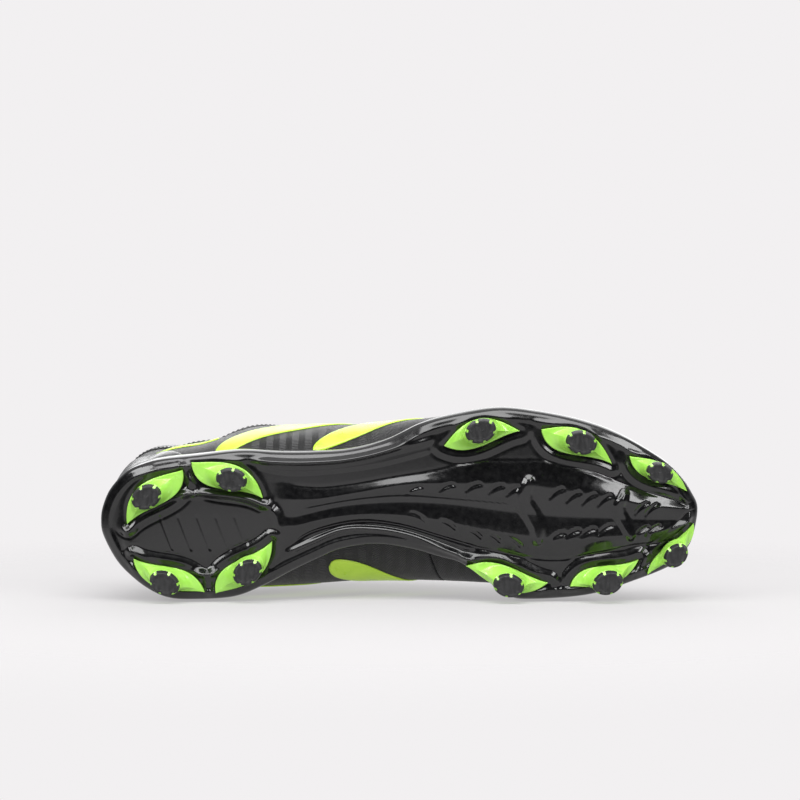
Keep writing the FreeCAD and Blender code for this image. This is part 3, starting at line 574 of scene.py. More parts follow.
FOOTBED = solid_cloth("footbed_cloth", (0.008, 0.008, 0.009), (0.03, 0.03, 0.032), 0.9, 1200)
STIFF = solid_cloth("stiffener_sheet", (0.35, 0.33, 0.3), (0.6, 0.58, 0.54), 0.75, 500)

# ---------------------------------------------------------------- sole outline and profile

BREADTHS = {"ball_outer": 51.9, "ball_inner": 40.6, "waist_outer": 30.6, "waist_inner": 15.0,
            "heel_outer": 31.0, "heel_inner": 40.5}
GROUND_TO_SOLE = 13.0
PLATE_FLOOR = 3.0
OUTER_EDGE = [
    (0.004, "heel_outer", 0.14), (0.018, "heel_outer", 0.42), (0.046, "heel_outer", 0.69),
    (0.079, "heel_outer", 0.83), (0.11, "heel_outer", 0.9), (0.158, "heel_outer", 0.95),
    (0.235, "heel_outer", 1.02), (0.3, "waist_outer", 1.0), (0.355, "waist_outer", 0.99),
    (0.415, "waist_outer", 1.02), (0.478, "ball_outer", 0.69), (0.537, "ball_outer", 0.85),
    (0.593, "ball_outer", 0.94), (0.661, "ball_outer", 1.0), (0.725, "ball_outer", 0.97),
    (0.8, "ball_outer", 0.885), (0.865, "ball_outer", 0.75), (0.933, "ball_outer", 0.525),
    (0.967, "ball_outer", 0.355), (0.989, "ball_outer", 0.18),
]
INNER_EDGE = [
    (0.004, "heel_inner", 0.26), (0.026, "heel_inner", 0.55), (0.054, "heel_inner", 0.75),
    (0.082, "heel_inner", 0.89), (0.11, "heel_inner", 0.975), (0.145, "heel_inner", 1.0),
    (0.22, "heel_inner", 0.975), (0.269, "heel_inner", 0.85), (0.32, "heel_inner", 0.67),
    (0.362, "waist_inner", 1.45), (0.4, "waist_inner", 1.16), (0.458, "waist_inner", 1.0),
    (0.516, "waist_inner", 1.12), (0.566, "waist_inner", 1.36), (0.602, "ball_inner", 0.575),
    (0.645, "ball_inner", 0.78), (0.68, "ball_inner", 0.95), (0.713, "ball_inner", 1.0),
    (0.815, "ball_inner", 0.95), (0.894, "ball_inner", 0.79), (0.955, "ball_inner", 0.63),
    (0.975, "ball_inner", 0.5), (0.991, "ball_inner", 0.33),
]
HEEL_POLE = (x_at(0.0), 0.07 * BREADTHS["heel_inner"])
TOE_POLE = (x_at(1.0), -0.02 * BREADTHS["ball_outer"])
SOLE_RISE = [(0.0, 4), (0.06, 0), (0.26, 0), (0.43, 6), (0.6, 1), (0.71, -0.5), (0.81, 0),
             (0.88, 2), (0.95, 6), (1.0, 11)]


def edge(entries, side):
    return [(x_at(s), side * part * BREADTHS[zone]) for s, zone, part in entries]


OUTLINE = closed_curve([HEEL_POLE] + edge(OUTER_EDGE, -1) + [TOE_POLE] + edge(INNER_EDGE, 1)[::-1], 700)
rise = curve([(x_at(s), value) for s, value in SOLE_RISE])


def sole_face(x):
    return GROUND_TO_SOLE + rise(x)


# ---------------------------------------------------------------- studs

PAD_PROUD = 1.4
PAD_SUNK = 1.0
TIP_LENGTH, TIP_WIDTH, TIP_HEIGHT, TIP_FLARE = 14.0, 10.5, 3.5, 0.5
TOE_TIP_SHARE, TOE_TIP_LIFT = 0.87, 4.0
KEY_WIDTH, KEY_DEPTH, KEY_RECESS, KEYS = 1.3, 0.7, 0.6, 6
STUD_SPLAY = 1.2
STUD_BASE = (18.0, 12.6)
OUTER_ROUND, INNER_ROUND = 2.2, 3.1
HEEL_CUP = [(-0.08, 16), (0.0, 16), (0.05, 12.8), (0.12, 5.6), (0.2, 1.0), (0.26, 0), (1.08, 0)]
STUDS = {
    "heel_lateral_rear": ((0.046, 0.12), (0.14, -0.745), "heel_outer", 0.23, 0.42, 0.16, 0.72, 0.467, 0.052, 28),
    "heel_lateral_front": ((0.155, -0.86), (0.272, -0.29), "heel_outer", 0.22, 0.57, 0.17, 0.28, 0.542, 0.036, -10),
    "heel_medial_rear": ((0.056, 0.505), (0.175, 0.9), "heel_inner", 0.2, 0.37, 0.14, 0.68, 0.488, 0.032, -25),
    "heel_medial_front": ((0.193, 0.915), (0.287, 0.3), "heel_inner", 0.22, 0.56, 0.16, 0.28, 0.533, 0.022, 32),
    "ball_lateral_rear": ((0.573, -0.655), (0.698, -0.8), "ball_outer", 0.26, 0.5, 0.11, 0.33, 0.504, 0.103, 21),
    "ball_lateral_mid": ((0.734, -0.815), (0.852, -0.49), "ball_outer", 0.22, 0.5, 0.15, 0.28, 0.494, 0.064, -14),
    "toe_lateral": ((0.881, -0.56), (0.98, -0.21), "ball_outer", 0.16, 0.55, 0.137, 0.3, 0.454, 0.01, -19),
    "ball_medial_rear": ((0.61, 0.595), (0.746, 0.79), "ball_inner", 0.2, 0.6, 0.11, 0.36, 0.53, 0.054, -12),
    "ball_medial_mid": ((0.784, 0.835), (0.898, 0.53), "ball_inner", 0.18, 0.58, 0.142, 0.28, 0.495, 0.044, 20),
    "toe_medial": ((0.914, 0.71), (0.992, 0.125), "ball_inner", 0.165, 0.66, 0.09, 0.28, 0.505, 0.013, 46),
}


class Stud:
    """Where one leaf and its stud lie: ends, outward direction, base, tip and turn."""

    def __init__(self, name, row):
        (rear, rear_y), (front, front_y), zone = row[:3]
        self.name = name
        self.start = np.array([x_at(rear), rear_y * BREADTHS[zone]])
        self.along = np.array([x_at(front), front_y * BREADTHS[zone]]) - self.start
        self.length = np.linalg.norm(self.along)
        self.out = np.array([-self.along[1], self.along[0]]) / self.length
        if (self.out[1] > 0) != ("medial" in name):
            self.out = -self.out
        self.outer_bulge, self.outer_peak, self.inner_bulge, self.inner_peak = row[3:7]
        place, off, self.turn = row[7:]
        self.base = self.start + self.along * place + self.out * self.length * off
        self.tip = self.base + self.out * STUD_SPLAY
        self.share = TOE_TIP_SHARE if name.startswith("toe") else 1.0
        self.ground = TOE_TIP_LIFT if name.startswith("toe") else 0.0

    def side(self, bulge, peak, total, sense, count):
        """One edge of the leaf. It stands off by the way gone raised to one power times the way
        left raised to another, scaled to the bulge. The two powers share a total by where the
        bulge peaks; a large total hollows the far end."""
        t = 0.5 - 0.5 * np.cos(np.pi * np.linspace(0, 1, count))
        a, b = peak * total, (1 - peak) * total
        off = sense * bulge * self.length * t**a * (1 - t) ** b / (peak**a * (1 - peak) ** b)
        return self.start + t[:, None] * self.along + off[:, None] * self.out

    def leaf(self, count=80):
        there = self.side(self.outer_bulge, self.outer_peak, OUTER_ROUND, 1, count + 1)
        back = self.side(self.inner_bulge, self.inner_peak, INNER_ROUND, -1, count + 1)[::-1]
        ring = np.vstack([there[:-1], back[:-1]])
        area = np.sum(ring[:, 0] * np.roll(ring[:, 1], -1) - ring[:, 1] * np.roll(ring[:, 0], -1))
        return ring if area > 0 else ring[::-1]


studs = [Stud(name, row) for name, row in STUDS.items()]


def oval_radius(angle, long_way, short_way):
    a, b = long_way / 2, short_way / 2
    return a * b / np.sqrt((b * np.cos(angle)) ** 2 + (a * np.sin(angle)) ** 2)


def pad_piece(stud):
    """A leaf that rises into its stud.

    Rings run from the leaf's buried edge over a small round to the face, then between the leaf's
    outline and the stud's oval while the height climbs as a power of the way in, and last down the
    core that fills the tip's keyways.
    """
    ring = stud.leaf()
    count = len(ring)
    angle = np.arctan2(ring[:, 1] - stud.base[1], ring[:, 0] - stud.base[0])
    own = angle + math.radians(stud.turn)
    face = sole_face(ring[:, 0])
    inward = stud.base - ring
    inward /= np.linalg.norm(inward, axis=1)[:, None]
    rows = []

    def ring_of(xy, z):
        rows.append(np.column_stack([xy, np.broadcast_to(z, count)]))

    ring_of(ring, face + PAD_SUNK)
    ring_of(ring, face - PAD_PROUD * 0.55)
    for k in range(1, 5):
        a = k / 4 * math.pi / 2
        ring_of(ring + inward * 0.55 * (1 - math.cos(a)), face - PAD_PROUD * (0.55 + 0.45 * math.sin(a)))
    start = ring + inward * 0.55
    neck_z = stud.ground + TIP_HEIGHT
    neck_r = oval_radius(own, stud.share * (TIP_LENGTH + 2 * TIP_FLARE), stud.share * (TIP_WIDTH + 2 * TIP_FLARE))
    foot_r = oval_radius(own, stud.share * STUD_BASE[0], stud.share * STUD_BASE[1])
    spoke = np.column_stack([np.cos(angle), np.sin(angle)])
    face_in = face - PAD_PROUD
    for v in np.linspace(0, 1, 26)[1:]:
        reach = v ** 0.62
        radius = foot_r + (neck_r - foot_r) * step(0.45, 1.0, v)
        centre = stud.base + (stud.tip - stud.base) * v ** 2
        target = centre + spoke * radius[:, None]
        xy = start * (1 - reach) + target * reach if v < 1 else target
        climb = 0.10 * v + 0.90 * v ** 3.4
        rim_z = face_in * (1 - v) + sole_face(stud.base[0]) * v - PAD_PROUD * v
        ring_of(xy, rim_z + (neck_z - rim_z) * climb)
    core = np.minimum(neck_r - KEY_DEPTH * 0.45, neck_r - 0.6)
    ring_of(stud.tip + spoke * core[:, None], neck_z)
    ring_of(stud.tip + spoke * core[:, None], stud.ground + KEY_RECESS)
    ring_of(stud.tip + spoke * 0.05, stud.ground + KEY_RECESS)
    verts = np.vstack(rows)
    obj = make("pad_" + stud.name, verts, grid_faces(len(rows), count, wrap=True), PAD)
    close_end(obj, 0, count)
    close_end(obj, (len(rows) - 1) * count, count)
    tidy(obj)
    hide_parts("stud_pad_" + stud.name)


def close_end(obj, first, count):
    """Fill a ring of vertices with one face fan, so that a form is closed."""
    import bmesh
    bm = bmesh.new()
    bm.from_mesh(obj.data)
    bm.verts.ensure_lookup_table()
    ring = [bm.verts[first + k] for k in range(count)]
    face = bm.faces.new(ring)
    bmesh.ops.triangulate(bm, faces=[face])
    bm.to_mesh(obj.data)
    bm.free()


def tip_piece(stud):
    """Notched oval cap: the oval's radius less a smooth notch at six even places, carried round
    a profile that flares to its top and is rounded at the ground, with a slightly dished face."""
    count = 240
    t = np.arange(count) / count * 2 * np.pi
    flat = 0.0
    for k in range(KEYS):
        at = math.pi * (2 * k + 1) / KEYS
        rim = np.array([math.cos(at) * TIP_LENGTH / 2, math.sin(at) * TIP_WIDTH / 2]) * stud.share
        here = np.column_stack([np.cos(t) * TIP_LENGTH / 2, np.sin(t) * TIP_WIDTH / 2]) * stud.share
        flat = flat + step(KEY_WIDTH * 0.62, KEY_WIDTH * 0.38, np.linalg.norm(here - rim, axis=1))
    notch = KEY_DEPTH * np.clip(flat, 0, 1)
    profile = [(0.0, 0.0), (TIP_FLARE, 1.0), (TIP_FLARE * 0.6, 0.7), (TIP_FLARE * 0.15, 0.35), (-0.03, 0.18),
               (-0.12, 0.09), (-0.3, 0.025), (-0.55, 0.0)]
    rows = []

    def ring_of(grow, share, z):
        a = stud.share * TIP_LENGTH / 2 + grow
        b = stud.share * TIP_WIDTH / 2 + grow
        xy = np.column_stack([np.cos(t) * a, np.sin(t) * b])
        length = np.linalg.norm(xy, axis=1)
        cut = np.minimum(notch, length - 1) if share is None else notch
        xy = xy * ((length - cut) / length)[:, None] * (1 if share is None else share)
        rows.append(np.column_stack([turned(xy, -stud.turn) + stud.tip, np.full(count, z)]))

    top = stud.ground + TIP_HEIGHT
    ring_of(TIP_FLARE - 2.0, None, top + 0.02)
    for grow, height in profile[1:]:
        ring_of(grow, None, stud.ground + height * TIP_HEIGHT)
    for share, dish in ((0.86, 0.02), (0.8, 0.16), (0.72, 0.2), (0.4, 0.12), (0.02, 0.08)):
        ring_of(-0.55, share, stud.ground + dish)
    obj = make("tip_" + stud.name, np.vstack(rows), grid_faces(len(rows), count, wrap=True), TIP)
    close_end(obj, 0, count)
    close_end(obj, (len(rows) - 1) * count, count)
    tidy(obj)
    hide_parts("stud_tip_" + stud.name)


# ---------------------------------------------------------------- outsole plate

spine_outer = curve([(-57, -15.2), (-38, -13.3), (-23, -14.7), (-5, -18), (19, -22.4), (33, -26.2),
                     (56, -27.1), (74, -26.7), (88, -22.9), (101, -17.8), (120, -10.3), (141, -3.9)])
crest_outer = curve([(-54, -8.2), (-40, -8.2), (-23, -10.7), (5, -15.8), (34, -16.6), (59, -16.3),
                     (83, -12.7), (101, -9.4), (112, -6.6), (141, -2)])
valley = curve([(-50, 0.4), (-29, -4), (-12, -5.7), (5, -6.5), (19, -6.3), (57, -2.4), (72, -1),
                (104, 0.8), (138, 3.2)])
crest_inner = curve([(-50, 4.9), (-34, 1.6), (-18, 0), (5, 0.4), (19, 1.9), (34, 5.1), (49, 7.8),
                     (67, 10.2), (88, 10.2), (111, 9.3), (124, 7.8), (139, 4.5)])
spine_inner = curve([(-53, 14.4), (-45, 9.4), (-34, 5.8), (-18, 3.5), (-1, 4.9), (19, 10), (29, 12.8),
                     (44, 16.8), (59, 19.3), (77, 20.3), (92, 18.5), (111, 14.8), (129, 12), (140, 5)])
ridge_inner = curve([(-54, 17.8), (-42, 12.8), (-29, 7.7), (-12, 7.2), (5, 10), (22, 16.3), (32, 20.8),
                     (49, 20.8), (59, 26.2), (69, 29.2)])
waist_rim = curve([(-67, -27), (-51, -25.6), (-34, -25.9), (-18, -28.1), (-1, -32.6), (16, -37.1)])
waist_band = curve([(-67, -23.1), (-56, -20.8), (-34, -20.8), (-12, -23.6), (15, -30.9)])
RIB_REAR = [(61.5, -18), (59.5, -11.7), (59.5, -6.8), (63.4, -0.5), (65.8, 4.9), (66, 11.5)]
RIB_FRONT = [(107.4, -11), (104.7, -5.4), (105.1, -1.5), (108, 3.9), (110.6, 10)]
# Comma notches: centre and lean in degrees, on the outer crest and then the inner.
NOTCHES = [(6, -13.3, 28), (21.5, -14.6, 28), (34.3, -15, 28), (45.2, -14.2, 30), (53.5, -13.2, 32),
           (74, -12.2, 36), (82, -10.4, 36), (89.5, -9.4, 38), (97, -8.5, 38), (115, -4.2, 40), (120, -3.4, 40),
           (9, -0.2, -30), (23.5, 3.2, -30), (36, 7.4, -32), (45.2, 9.1, -34), (55, 11.2, -36),
           (75, 8.6, 30), (82, 7.6, 30), (89.5, 7, 30), (98, 5.6, 32), (115.5, 7, 34), (121, 6.6, 34)]
# Thin grooves in the heel's sunk panel: five straight ones, side by side at even steps.
PANEL_LINES = [[(middle - 3.0, 0.0), (middle + 3.0, 16.0)] for middle in (-112.0, -103.0, -94.0, -85.0, -76.0)]
RING_CENTRE, RING_REACH = (-94.5, 8.0), (35.5, 19.0)


def layers_across(y, places, heights):
    """Height that goes from one value to the next between neighbouring lines, eased a little."""
    total = np.full(np.shape(y), heights[0], float)
    for a, b, low, high in zip(places[:-1], places[1:], heights[:-1], heights[1:]):
        t = np.clip((y - a) / np.maximum(b - a, 0.3), 0, 1)
        total += (high - low) * (0.65 * t + 0.35 * t * t * (3 - 2 * t))
    return total


def relief(x, y):
    """How far the plate's face stands out below the plain sole, in millimetres.

    A spine with two crests and a valley between, cut by comma notches and crossed by two ribs; a
    heel ring round a sunk panel; ridges that follow the leaves' inner edges; and a waist rim.
    """
    so, co, va, ci, si = (f(x) for f in (spine_outer, crest_outer, valley, crest_inner, spine_inner))
    size = 0.55 + 0.45 * step(-30, 40, x) - 0.5 * step(118, 142, x)
    spine = layers_across(y, [so - 1.2, so + 0.8, co, va, ci, si - 0.6, si + 0.8],
                          [0, 0.7, 3.0, 1.9, 3.2, 0.5, 0])
    spine *= size * step(-64, -48, x) * step(143.5, 136, x)
    groove = -0.6 * bump(y - si, 0.7) * step(-56, -46, x) * step(142, 132, x)
    groove += -0.35 * bump(y - so, 0.8) * step(-56, -46, x) * step(142, 132, x)
    crease = curve([(-50, -3.5), (-18, -8.5), (-1, -10.2), (29, -9.1), (56, -7.1)])(x)
    groove += -0.3 * bump(y - crease, 0.6) * step(-52, -40, x) * step(58, 48, x)
    cuts = 0.0
    for cx, cy, lean in NOTCHES:
        a = math.radians(lean)
        dx, dy = x - cx, y - cy
        u = dx * math.cos(a) - dy * math.sin(a)
        v = dx * math.sin(a) + dy * math.cos(a) - 0.05 * u * u
        cuts = np.maximum(cuts, step(5.4, 3.4, np.abs(u)) * step(1.35, 0.55, np.abs(v)) * (0.75 + 0.09 * u))
    ribs = 0.0
    for line, width in ((RIB_REAR, 3.4), (RIB_FRONT, 2.4)):
        line = np.array(line, float)
        path = even(np.column_stack([np.interp(np.linspace(0, 1, 40), np.linspace(0, 1, len(line)), line[:, k])
                                     for k in (0, 1)]), 30)
        d = distance_to(path, x, y)
        t = np.clip((y - line[0, 1]) / (line[-1, 1] - line[0, 1]), 0, 1)
        w = width * (0.45 + 0.55 * np.sin(np.pi * t))
        ribs = np.maximum(ribs, 1.5 * step(w + 1.5, w - 1.0, d))
        cuts = cuts * (1 - step(w + 2, w, d))
    shape = spine - cuts * size + ribs + groove
    ri = ridge_inner(x)
    shape += 1.5 * bump(y - ri, 1.5) * step(-58, -50, x) * step(70, 60, x)
    shape += -0.5 * bump(y - (ri + si) / 2, 0.8) * step(-50, -40, x) * step(60, 50, x)
    shape += 1.3 * bump(y - waist_rim(x), 1.6) * step(-72, -64, x) * step(20, 10, x)
    shape += 0.7 * step(waist_band(x) + 1.0, waist_band(x) - 1.0, y) * step(-70, -62, x) * step(18, 8, x)
    q = (np.abs((x - RING_CENTRE[0]) / RING_REACH[0]) ** 2.6
         + np.abs((y - RING_CENTRE[1]) / RING_REACH[1]) ** 2.6) ** (1 / 2.6)
    shape += 2.0 * bump(q - 1.03, 0.075) - 0.5 * step(0.95, 0.86, q)
    for line in PANEL_LINES:
        shape += -0.4 * bump(distance_to(np.array(line), x, y), 0.5) * step(0.85, 0.75, q)
    for stud in studs:
        leaf = stud.leaf(30)
        near = (np.abs(x - stud.base[0]) < 32) & (np.abs(y - stud.base[1]) < 26)
        px, py = x[near], y[near]
        d = distance_to(np.vstack([leaf, leaf[:1]]), px, py)
        within = inside(leaf, px, py)
        across = (px - stud.base[0]) * stud.out[0] + (py - stud.base[1]) * stud.out[1]
        hug = step(3, -5, across)
        out = np.where(within, 0, d)
        keep = shape[near]
        keep = keep * step(0.0, 3.2, out) + hug * (0.95 * bump(out - 3.4, 1.7) - 0.35 * bump(out - 6.4, 0.7))
        keep += (1 - hug) * 0.5 * bump(out - 2.0, 1.3)
        keep = np.where(within, np.minimum(keep, -0.6 * step(0, 0.8, d)), keep)
        shape[near] = keep
    return shape


def plate_piece():
    """The plate's face is a grid between the two long edges, lowered by the relief and rounded at
    the rim; the wall goes up round the same edge, over its lip and down inside to the floor."""
    columns, rows = 620, 132
    turnabout = int(np.argmin(np.linalg.norm(OUTLINE - np.array(TOE_POLE), axis=1)))
    share = np.linspace(0, 1, columns)
    xs = x_at(0.5 - 0.5 * np.cos(np.pi * (0.8 * share + 0.2 * (1 - np.cos(np.pi * share)) / 2)))
    xs = x_at(0.0) + (xs - xs[0]) / (xs[-1] - xs[0]) * LENGTH
    xs[0], xs[-1] = HEEL_POLE[0] + 0.02, TOE_POLE[0] - 0.02
    outer = OUTLINE[:turnabout + 1]
    inner = np.vstack([OUTLINE[turnabout:], OUTLINE[:1]])[::-1]
    y_out = np.interp(xs, outer[:, 0], outer[:, 1])
    y_in = np.interp(xs, inner[:, 0], inner[:, 1])
    v = np.linspace(0, 1, rows)[:, None]
    v = v + 0.04 * np.sin(2 * np.pi * v) * -1
    x = np.broadcast_to(xs, (rows, columns)).copy()
    y = y_out + (y_in - y_out) * v
    from_edge = distance_to(np.vstack([OUTLINE[::2], OUTLINE[:1]]), x, y)
    from_edge[0] = from_edge[-1] = 0
    from_edge[:, 0] = from_edge[:, -1] = 0
    shape = relief(x.ravel(), y.ravel()).reshape(x.shape) * step(0.3, 4.0, from_edge)
    shape += 0.9 * bump(from_edge - 4.2, 1.3) * step(0.5, 2.5, from_edge)
    rounding = 3.0
    fall = np.clip(1 - from_edge / rounding, 0, 1)
    z = sole_face(x) - shape + rounding * (1 - np.sqrt(1 - 0.98 * fall**2))
    face = np.stack([x, y, z], axis=-1)
    loop = np.concatenate([np.arange(columns), np.arange(2, rows) * columns - 1,
                           (rows - 1) * columns + np.arange(columns)[::-1],
                           (np.arange(1, rows - 1) * columns)[::-1]])
    verts = face.reshape(-1, 3)
    border = verts[loop]
    tangent = np.roll(OUTLINE, -4, axis=0) - np.roll(OUTLINE, 4, axis=0)
    nearest = [int(np.argmin(np.sum((OUTLINE - p) ** 2, axis=1))) for p in border[:, :2]]
    normal = np.column_stack([tangent[:, 1], -tangent[:, 0]])[nearest]
    normal /= np.linalg.norm(normal, axis=1)[:, None]
    base = sole_face(border[:, 0])
    cup = curve([(x_at(s), value) for s, value in HEEL_CUP])(border[:, 0])
    high = PLATE_FLOOR + 6.0 + cup
    lean = 0.12 * cup
    rings = [border]
    for out, share, less in ((0.25, 0.45, 0), (0.3, 0.65, 0), (0.1, 1, 0.9), (-0.3, 1, 0.2), (-0.9, 1, 0),
                             (-1.5, 1, 0.3), (-1.7, 1, 1.2), (-2.2, 0.55, 0), (-6.0, 0.46, 0)):
        up = high * share - less
        inset = out - lean * (up / high) ** 2
        rings.append(np.column_stack([border[:, :2] + normal * inset[:, None], base + up]))
    count = len(border)
    wall = np.vstack(rings)
    faces = [grid_faces(rows, columns), grid_faces(len(rings), count, wrap=True, first=len(verts))]
    obj = make("plate", np.vstack([verts, wall]), np.vstack(faces), PLATE)
    tidy(obj, 0.00001)
    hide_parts("outsole_plate")


# ---------------------------------------------------------------- the upper's form

INSTEP, TOE_BOX, COLLAR_BACK, COLLAR_DIP = 112.0, 53.0, 95.0, 75.0
THROAT_FRONT, THROAT_BACK, EYESTAY_BREADTH = 15.0, 29.0, 14.0
SHELL, LINING = 1.5, 3.3
FAN_SHARE, FAN_CLEAR = 0.24, 6.0
TALL = {"instep": INSTEP, "toe": TOE_BOX, "collar": COLLAR_BACK}
# Upright sections: share of length, height, outer and inner breadth with the height of the widest
# place, middles of the top and foot, and roundness of the low outer, low inner and top quarters.
STATIONS = [
    (0.24, "instep", 1.107, ("heel_outer", 1.17, 0.32), ("heel_inner", 0.93, 0.2), 4, 4, 3.0, 3.0, 2.1),
    (0.344, "instep", 1.0, ("waist_outer", 1.24, 0.36), ("heel_inner", 0.95, 0.26), 3.5, -2, 2.6, 2.2, 1.9),
    (0.448, "instep", 0.862, ("waist_outer", 1.3, 0.35), ("heel_inner", 0.93, 0.35), 2, -6, 2.4, 1.9, 1.8),
    (0.552, "instep", 0.728, ("ball_outer", 0.85, 0.31), ("ball_inner", 0.9, 0.36), 0, -7, 2.8, 2.0, 1.9),
    (0.656, "instep", 0.612, ("ball_outer", 0.94, 0.27), ("ball_inner", 0.88, 0.3), -1, -6, 3.2, 2.8, 2.0),
    (0.76, "toe", 1.1, ("ball_outer", 0.875, 0.28), ("ball_inner", 0.92, 0.28), -2, -5, 3.3, 3.2, 2.2),
    (0.847, "toe", 1.0, ("ball_outer", 0.745, 0.3), ("ball_inner", 0.83, 0.3), -2, -3, 3.2, 3.2, 2.3),
    (0.917, "toe", 0.9, ("ball_outer", 0.54, 0.3), ("ball_inner", 0.67, 0.3), -1, -1, 2.8, 2.8, 2.3),
    (0.962, "toe", 0.775, ("ball_outer", 0.335, 0.33), ("ball_inner", 0.49, 0.33), 0, 1, 2.4, 2.4, 2.1),
    (0.986, "toe", 0.65, ("ball_outer", 0.15, 0.4), ("ball_inner", 0.29, 0.4), 1, 1, 2.0, 2.0, 2.0),
    (0.996, "toe", 0.56, ("ball_outer", 0.05, 0.5), ("ball_inner", 0.1, 0.5), 1, 1, 2.0, 2.0, 2.0),
]
# Sections that fan round the heel: share of length, foot height, breadths and where they are widest.
HEEL_FAN = [
    (0.0278, "collar", 1.2, 0.71, 0.74, 0.5), (0.019, "collar", 1.013, 0.73, 0.74, 0.5),
    (0.0076, "collar", 0.777, 0.76, 0.765, 0.5), (0.006, "collar", 0.526, 0.775, 0.78, 0.52),
    (0.0233, "sole", 9.0, 0.81, 0.815, 0.56), (0.064, "sole", 3.2, 0.9, 0.875, 0.66),
    (0.134, "sole", 3.0, 0.98, 0.915, 0.76),
]
QUARTER = 64
ALONG = 460


def section(origin, up, ridge, foot, outer, inner, mid_top, mid_foot, power):
    """Four quarter superellipses: outer side to ridge, to inner side, to foot and back."""
    quarters = ((outer, ridge, mid_top, power[2], 1), (inner, ridge, mid_top, power[2], -1),
                (inner, foot, mid_foot, power[1], 1), (outer, foot, mid_foot, power[0], -1))
    points = []
    for (side_y, side_h), end, mid, p, sense in quarters:
        t = np.arange(QUARTER) / QUARTER
        a = (t if sense > 0 else 1 - t) * math.pi / 2
        y = mid + (side_y - mid) * np.cos(a).clip(0) ** (2 / p)
        h = side_h + (end - side_h) * np.sin(a) ** (2 / p)
        points.append(np.array(origin) + np.outer(h, up) + np.outer(y, (0, 1, 0)))
    return np.vstack(points)


def form_grid():
    """The upper's outer face: the sections, joined along the shoe by cubics."""
    fan = np.array([x_at(FAN_SHARE), 0, INSTEP * STATIONS[0][2] + FAN_CLEAR])
    rings = []
    for share, tag, value, outer, inner, widest in HEEL_FAN:
        x = x_at(share)
        ray = np.array([x, 0, sole_face(x) + value if tag == "sole" else COLLAR_BACK * value]) - fan
        reach = np.linalg.norm(ray)
        side = -(FAN_CLEAR + widest * (reach - FAN_CLEAR))
        rings.append(section(fan, -ray / reach, -FAN_CLEAR, -reach, (-outer * BREADTHS["heel_outer"], side),
                             (inner * BREADTHS["heel_inner"], side), 4, 4, (2.4, 2.4, 2.2)))
    for share, tag, value, outer, inner, mid_top, mid_foot, low_out, low_in, top in STATIONS:
        x = x_at(share)
        foot = sole_face(x) + PLATE_FLOOR
        ridge = TALL[tag] * value
        rings.append(section((x, 0, 0), (0, 0, 1), ridge, foot,
                             (-outer[1] * BREADTHS[outer[0]], foot + outer[2] * (ridge - foot)),
                             (inner[1] * BREADTHS[inner[0]], foot + inner[2] * (ridge - foot)),
                             mid_top, mid_foot, (low_out, low_in, top)))
    rings = np.array(rings)
    gaps = np.sqrt(((rings[1:] - rings[:-1]) ** 2).sum(2).mean(1))
    at = np.concatenate([[0], np.cumsum(gaps)])
    slope = np.gradient(rings, at, axis=0)
    want = np.linspace(0, at[-1], ALONG)
    k = np.clip(np.searchsorted(at, want) - 1, 0, len(at) - 2)
    h = (at[k + 1] - at[k])[:, None, None]
    t = ((want - at[k]) / (at[k + 1] - at[k]))[:, None, None]
    return ((2 * t**3 - 3 * t**2 + 1) * rings[k] + (t**3 - 2 * t**2 + t) * slope[k] * h
            + (3 * t**2 - 2 * t**3) * rings[k + 1] + (t**3 - t**2) * slope[k + 1] * h)


FORM = form_grid()
AROUND = FORM.shape[1]
d_along = np.gradient(FORM, axis=0)
d_round = (np.roll(FORM, -1, axis=1) - np.roll(FORM, 1, axis=1)) / 2
FACING = np.cross(d_along, d_round)
FACING /= np.maximum(np.linalg.norm(FACING, axis=2, keepdims=True), 1e-9)
if FACING[ALONG // 2, QUARTER][2] < 0:
    FACING = -FACING
FORM_UV = np.stack([np.cumsum(np.linalg.norm(d_along, axis=2).mean(1))[:, None] + np.zeros(AROUND),
                    np.cumsum(np.linalg.norm(d_round, axis=2), axis=1)], axis=-1)


def on_form(s, t, out=0.0):
    """Points of the form at fractional grid places, moved out along the facing."""
    s = np.clip(s, 0, ALONG - 1.001)
    i, j = np.floor(s).astype(int), np.floor(t).astype(int)
    a, b = (s - i)[..., None], (t - j)[..., None]
    j, n = j % AROUND, (j + 1) % AROUND

    def mix(grid):
        return ((grid[i, j] * (1 - b) + grid[i, n] * b) * (1 - a)
                + (grid[i + 1, j] * (1 - b) + grid[i + 1, n] * b) * a)

    facing = mix(FACING)
    facing /= np.linalg.norm(facing, axis=-1, keepdims=True)
    return mix(FORM) + facing * np.asarray(out)[..., None], facing


def field(ring, a, b):
    """Distance into a closed outline: positive inside, negative outside."""
    ring = np.array(ring, float)
    d = distance_to(np.vstack([ring, ring[:1]]), a, b)
    return np.where(inside(ring, a, b), d, -d)


RIDGE = curve([(x_at(row[0]), row[5]) for row in STATIONS])
THROAT_FRONT_X, TOP_EYELET_X = x_at(0.655), x_at(0.345)
COLLAR = [(-0.08, COLLAR_BACK + 2), (0.02, COLLAR_BACK), (0.075, COLLAR_BACK - 8), (0.125, COLLAR_DIP + 3),
          (0.18, COLLAR_DIP), (0.235, COLLAR_DIP + 3), (0.285, COLLAR_DIP + 0.42 * 37),
          (0.325, COLLAR_DIP + 0.8 * 37)]
collar_line = curve([(x_at(s), z) for s, z in COLLAR])
RIM = [(-0.08, 16), (0.0, 16), (0.05, 12.8), (0.12, 5.6), (0.2, 1.0), (0.26, 0), (1.08, 0)]
rim_more = curve([(x_at(s), value) for s, value in RIM])


def throat_half(x):
    t = (THROAT_FRONT_X - x) / (THROAT_FRONT_X - TOP_EYELET_X)
    return (THROAT_FRONT + t * (THROAT_BACK - THROAT_FRONT)) / 2


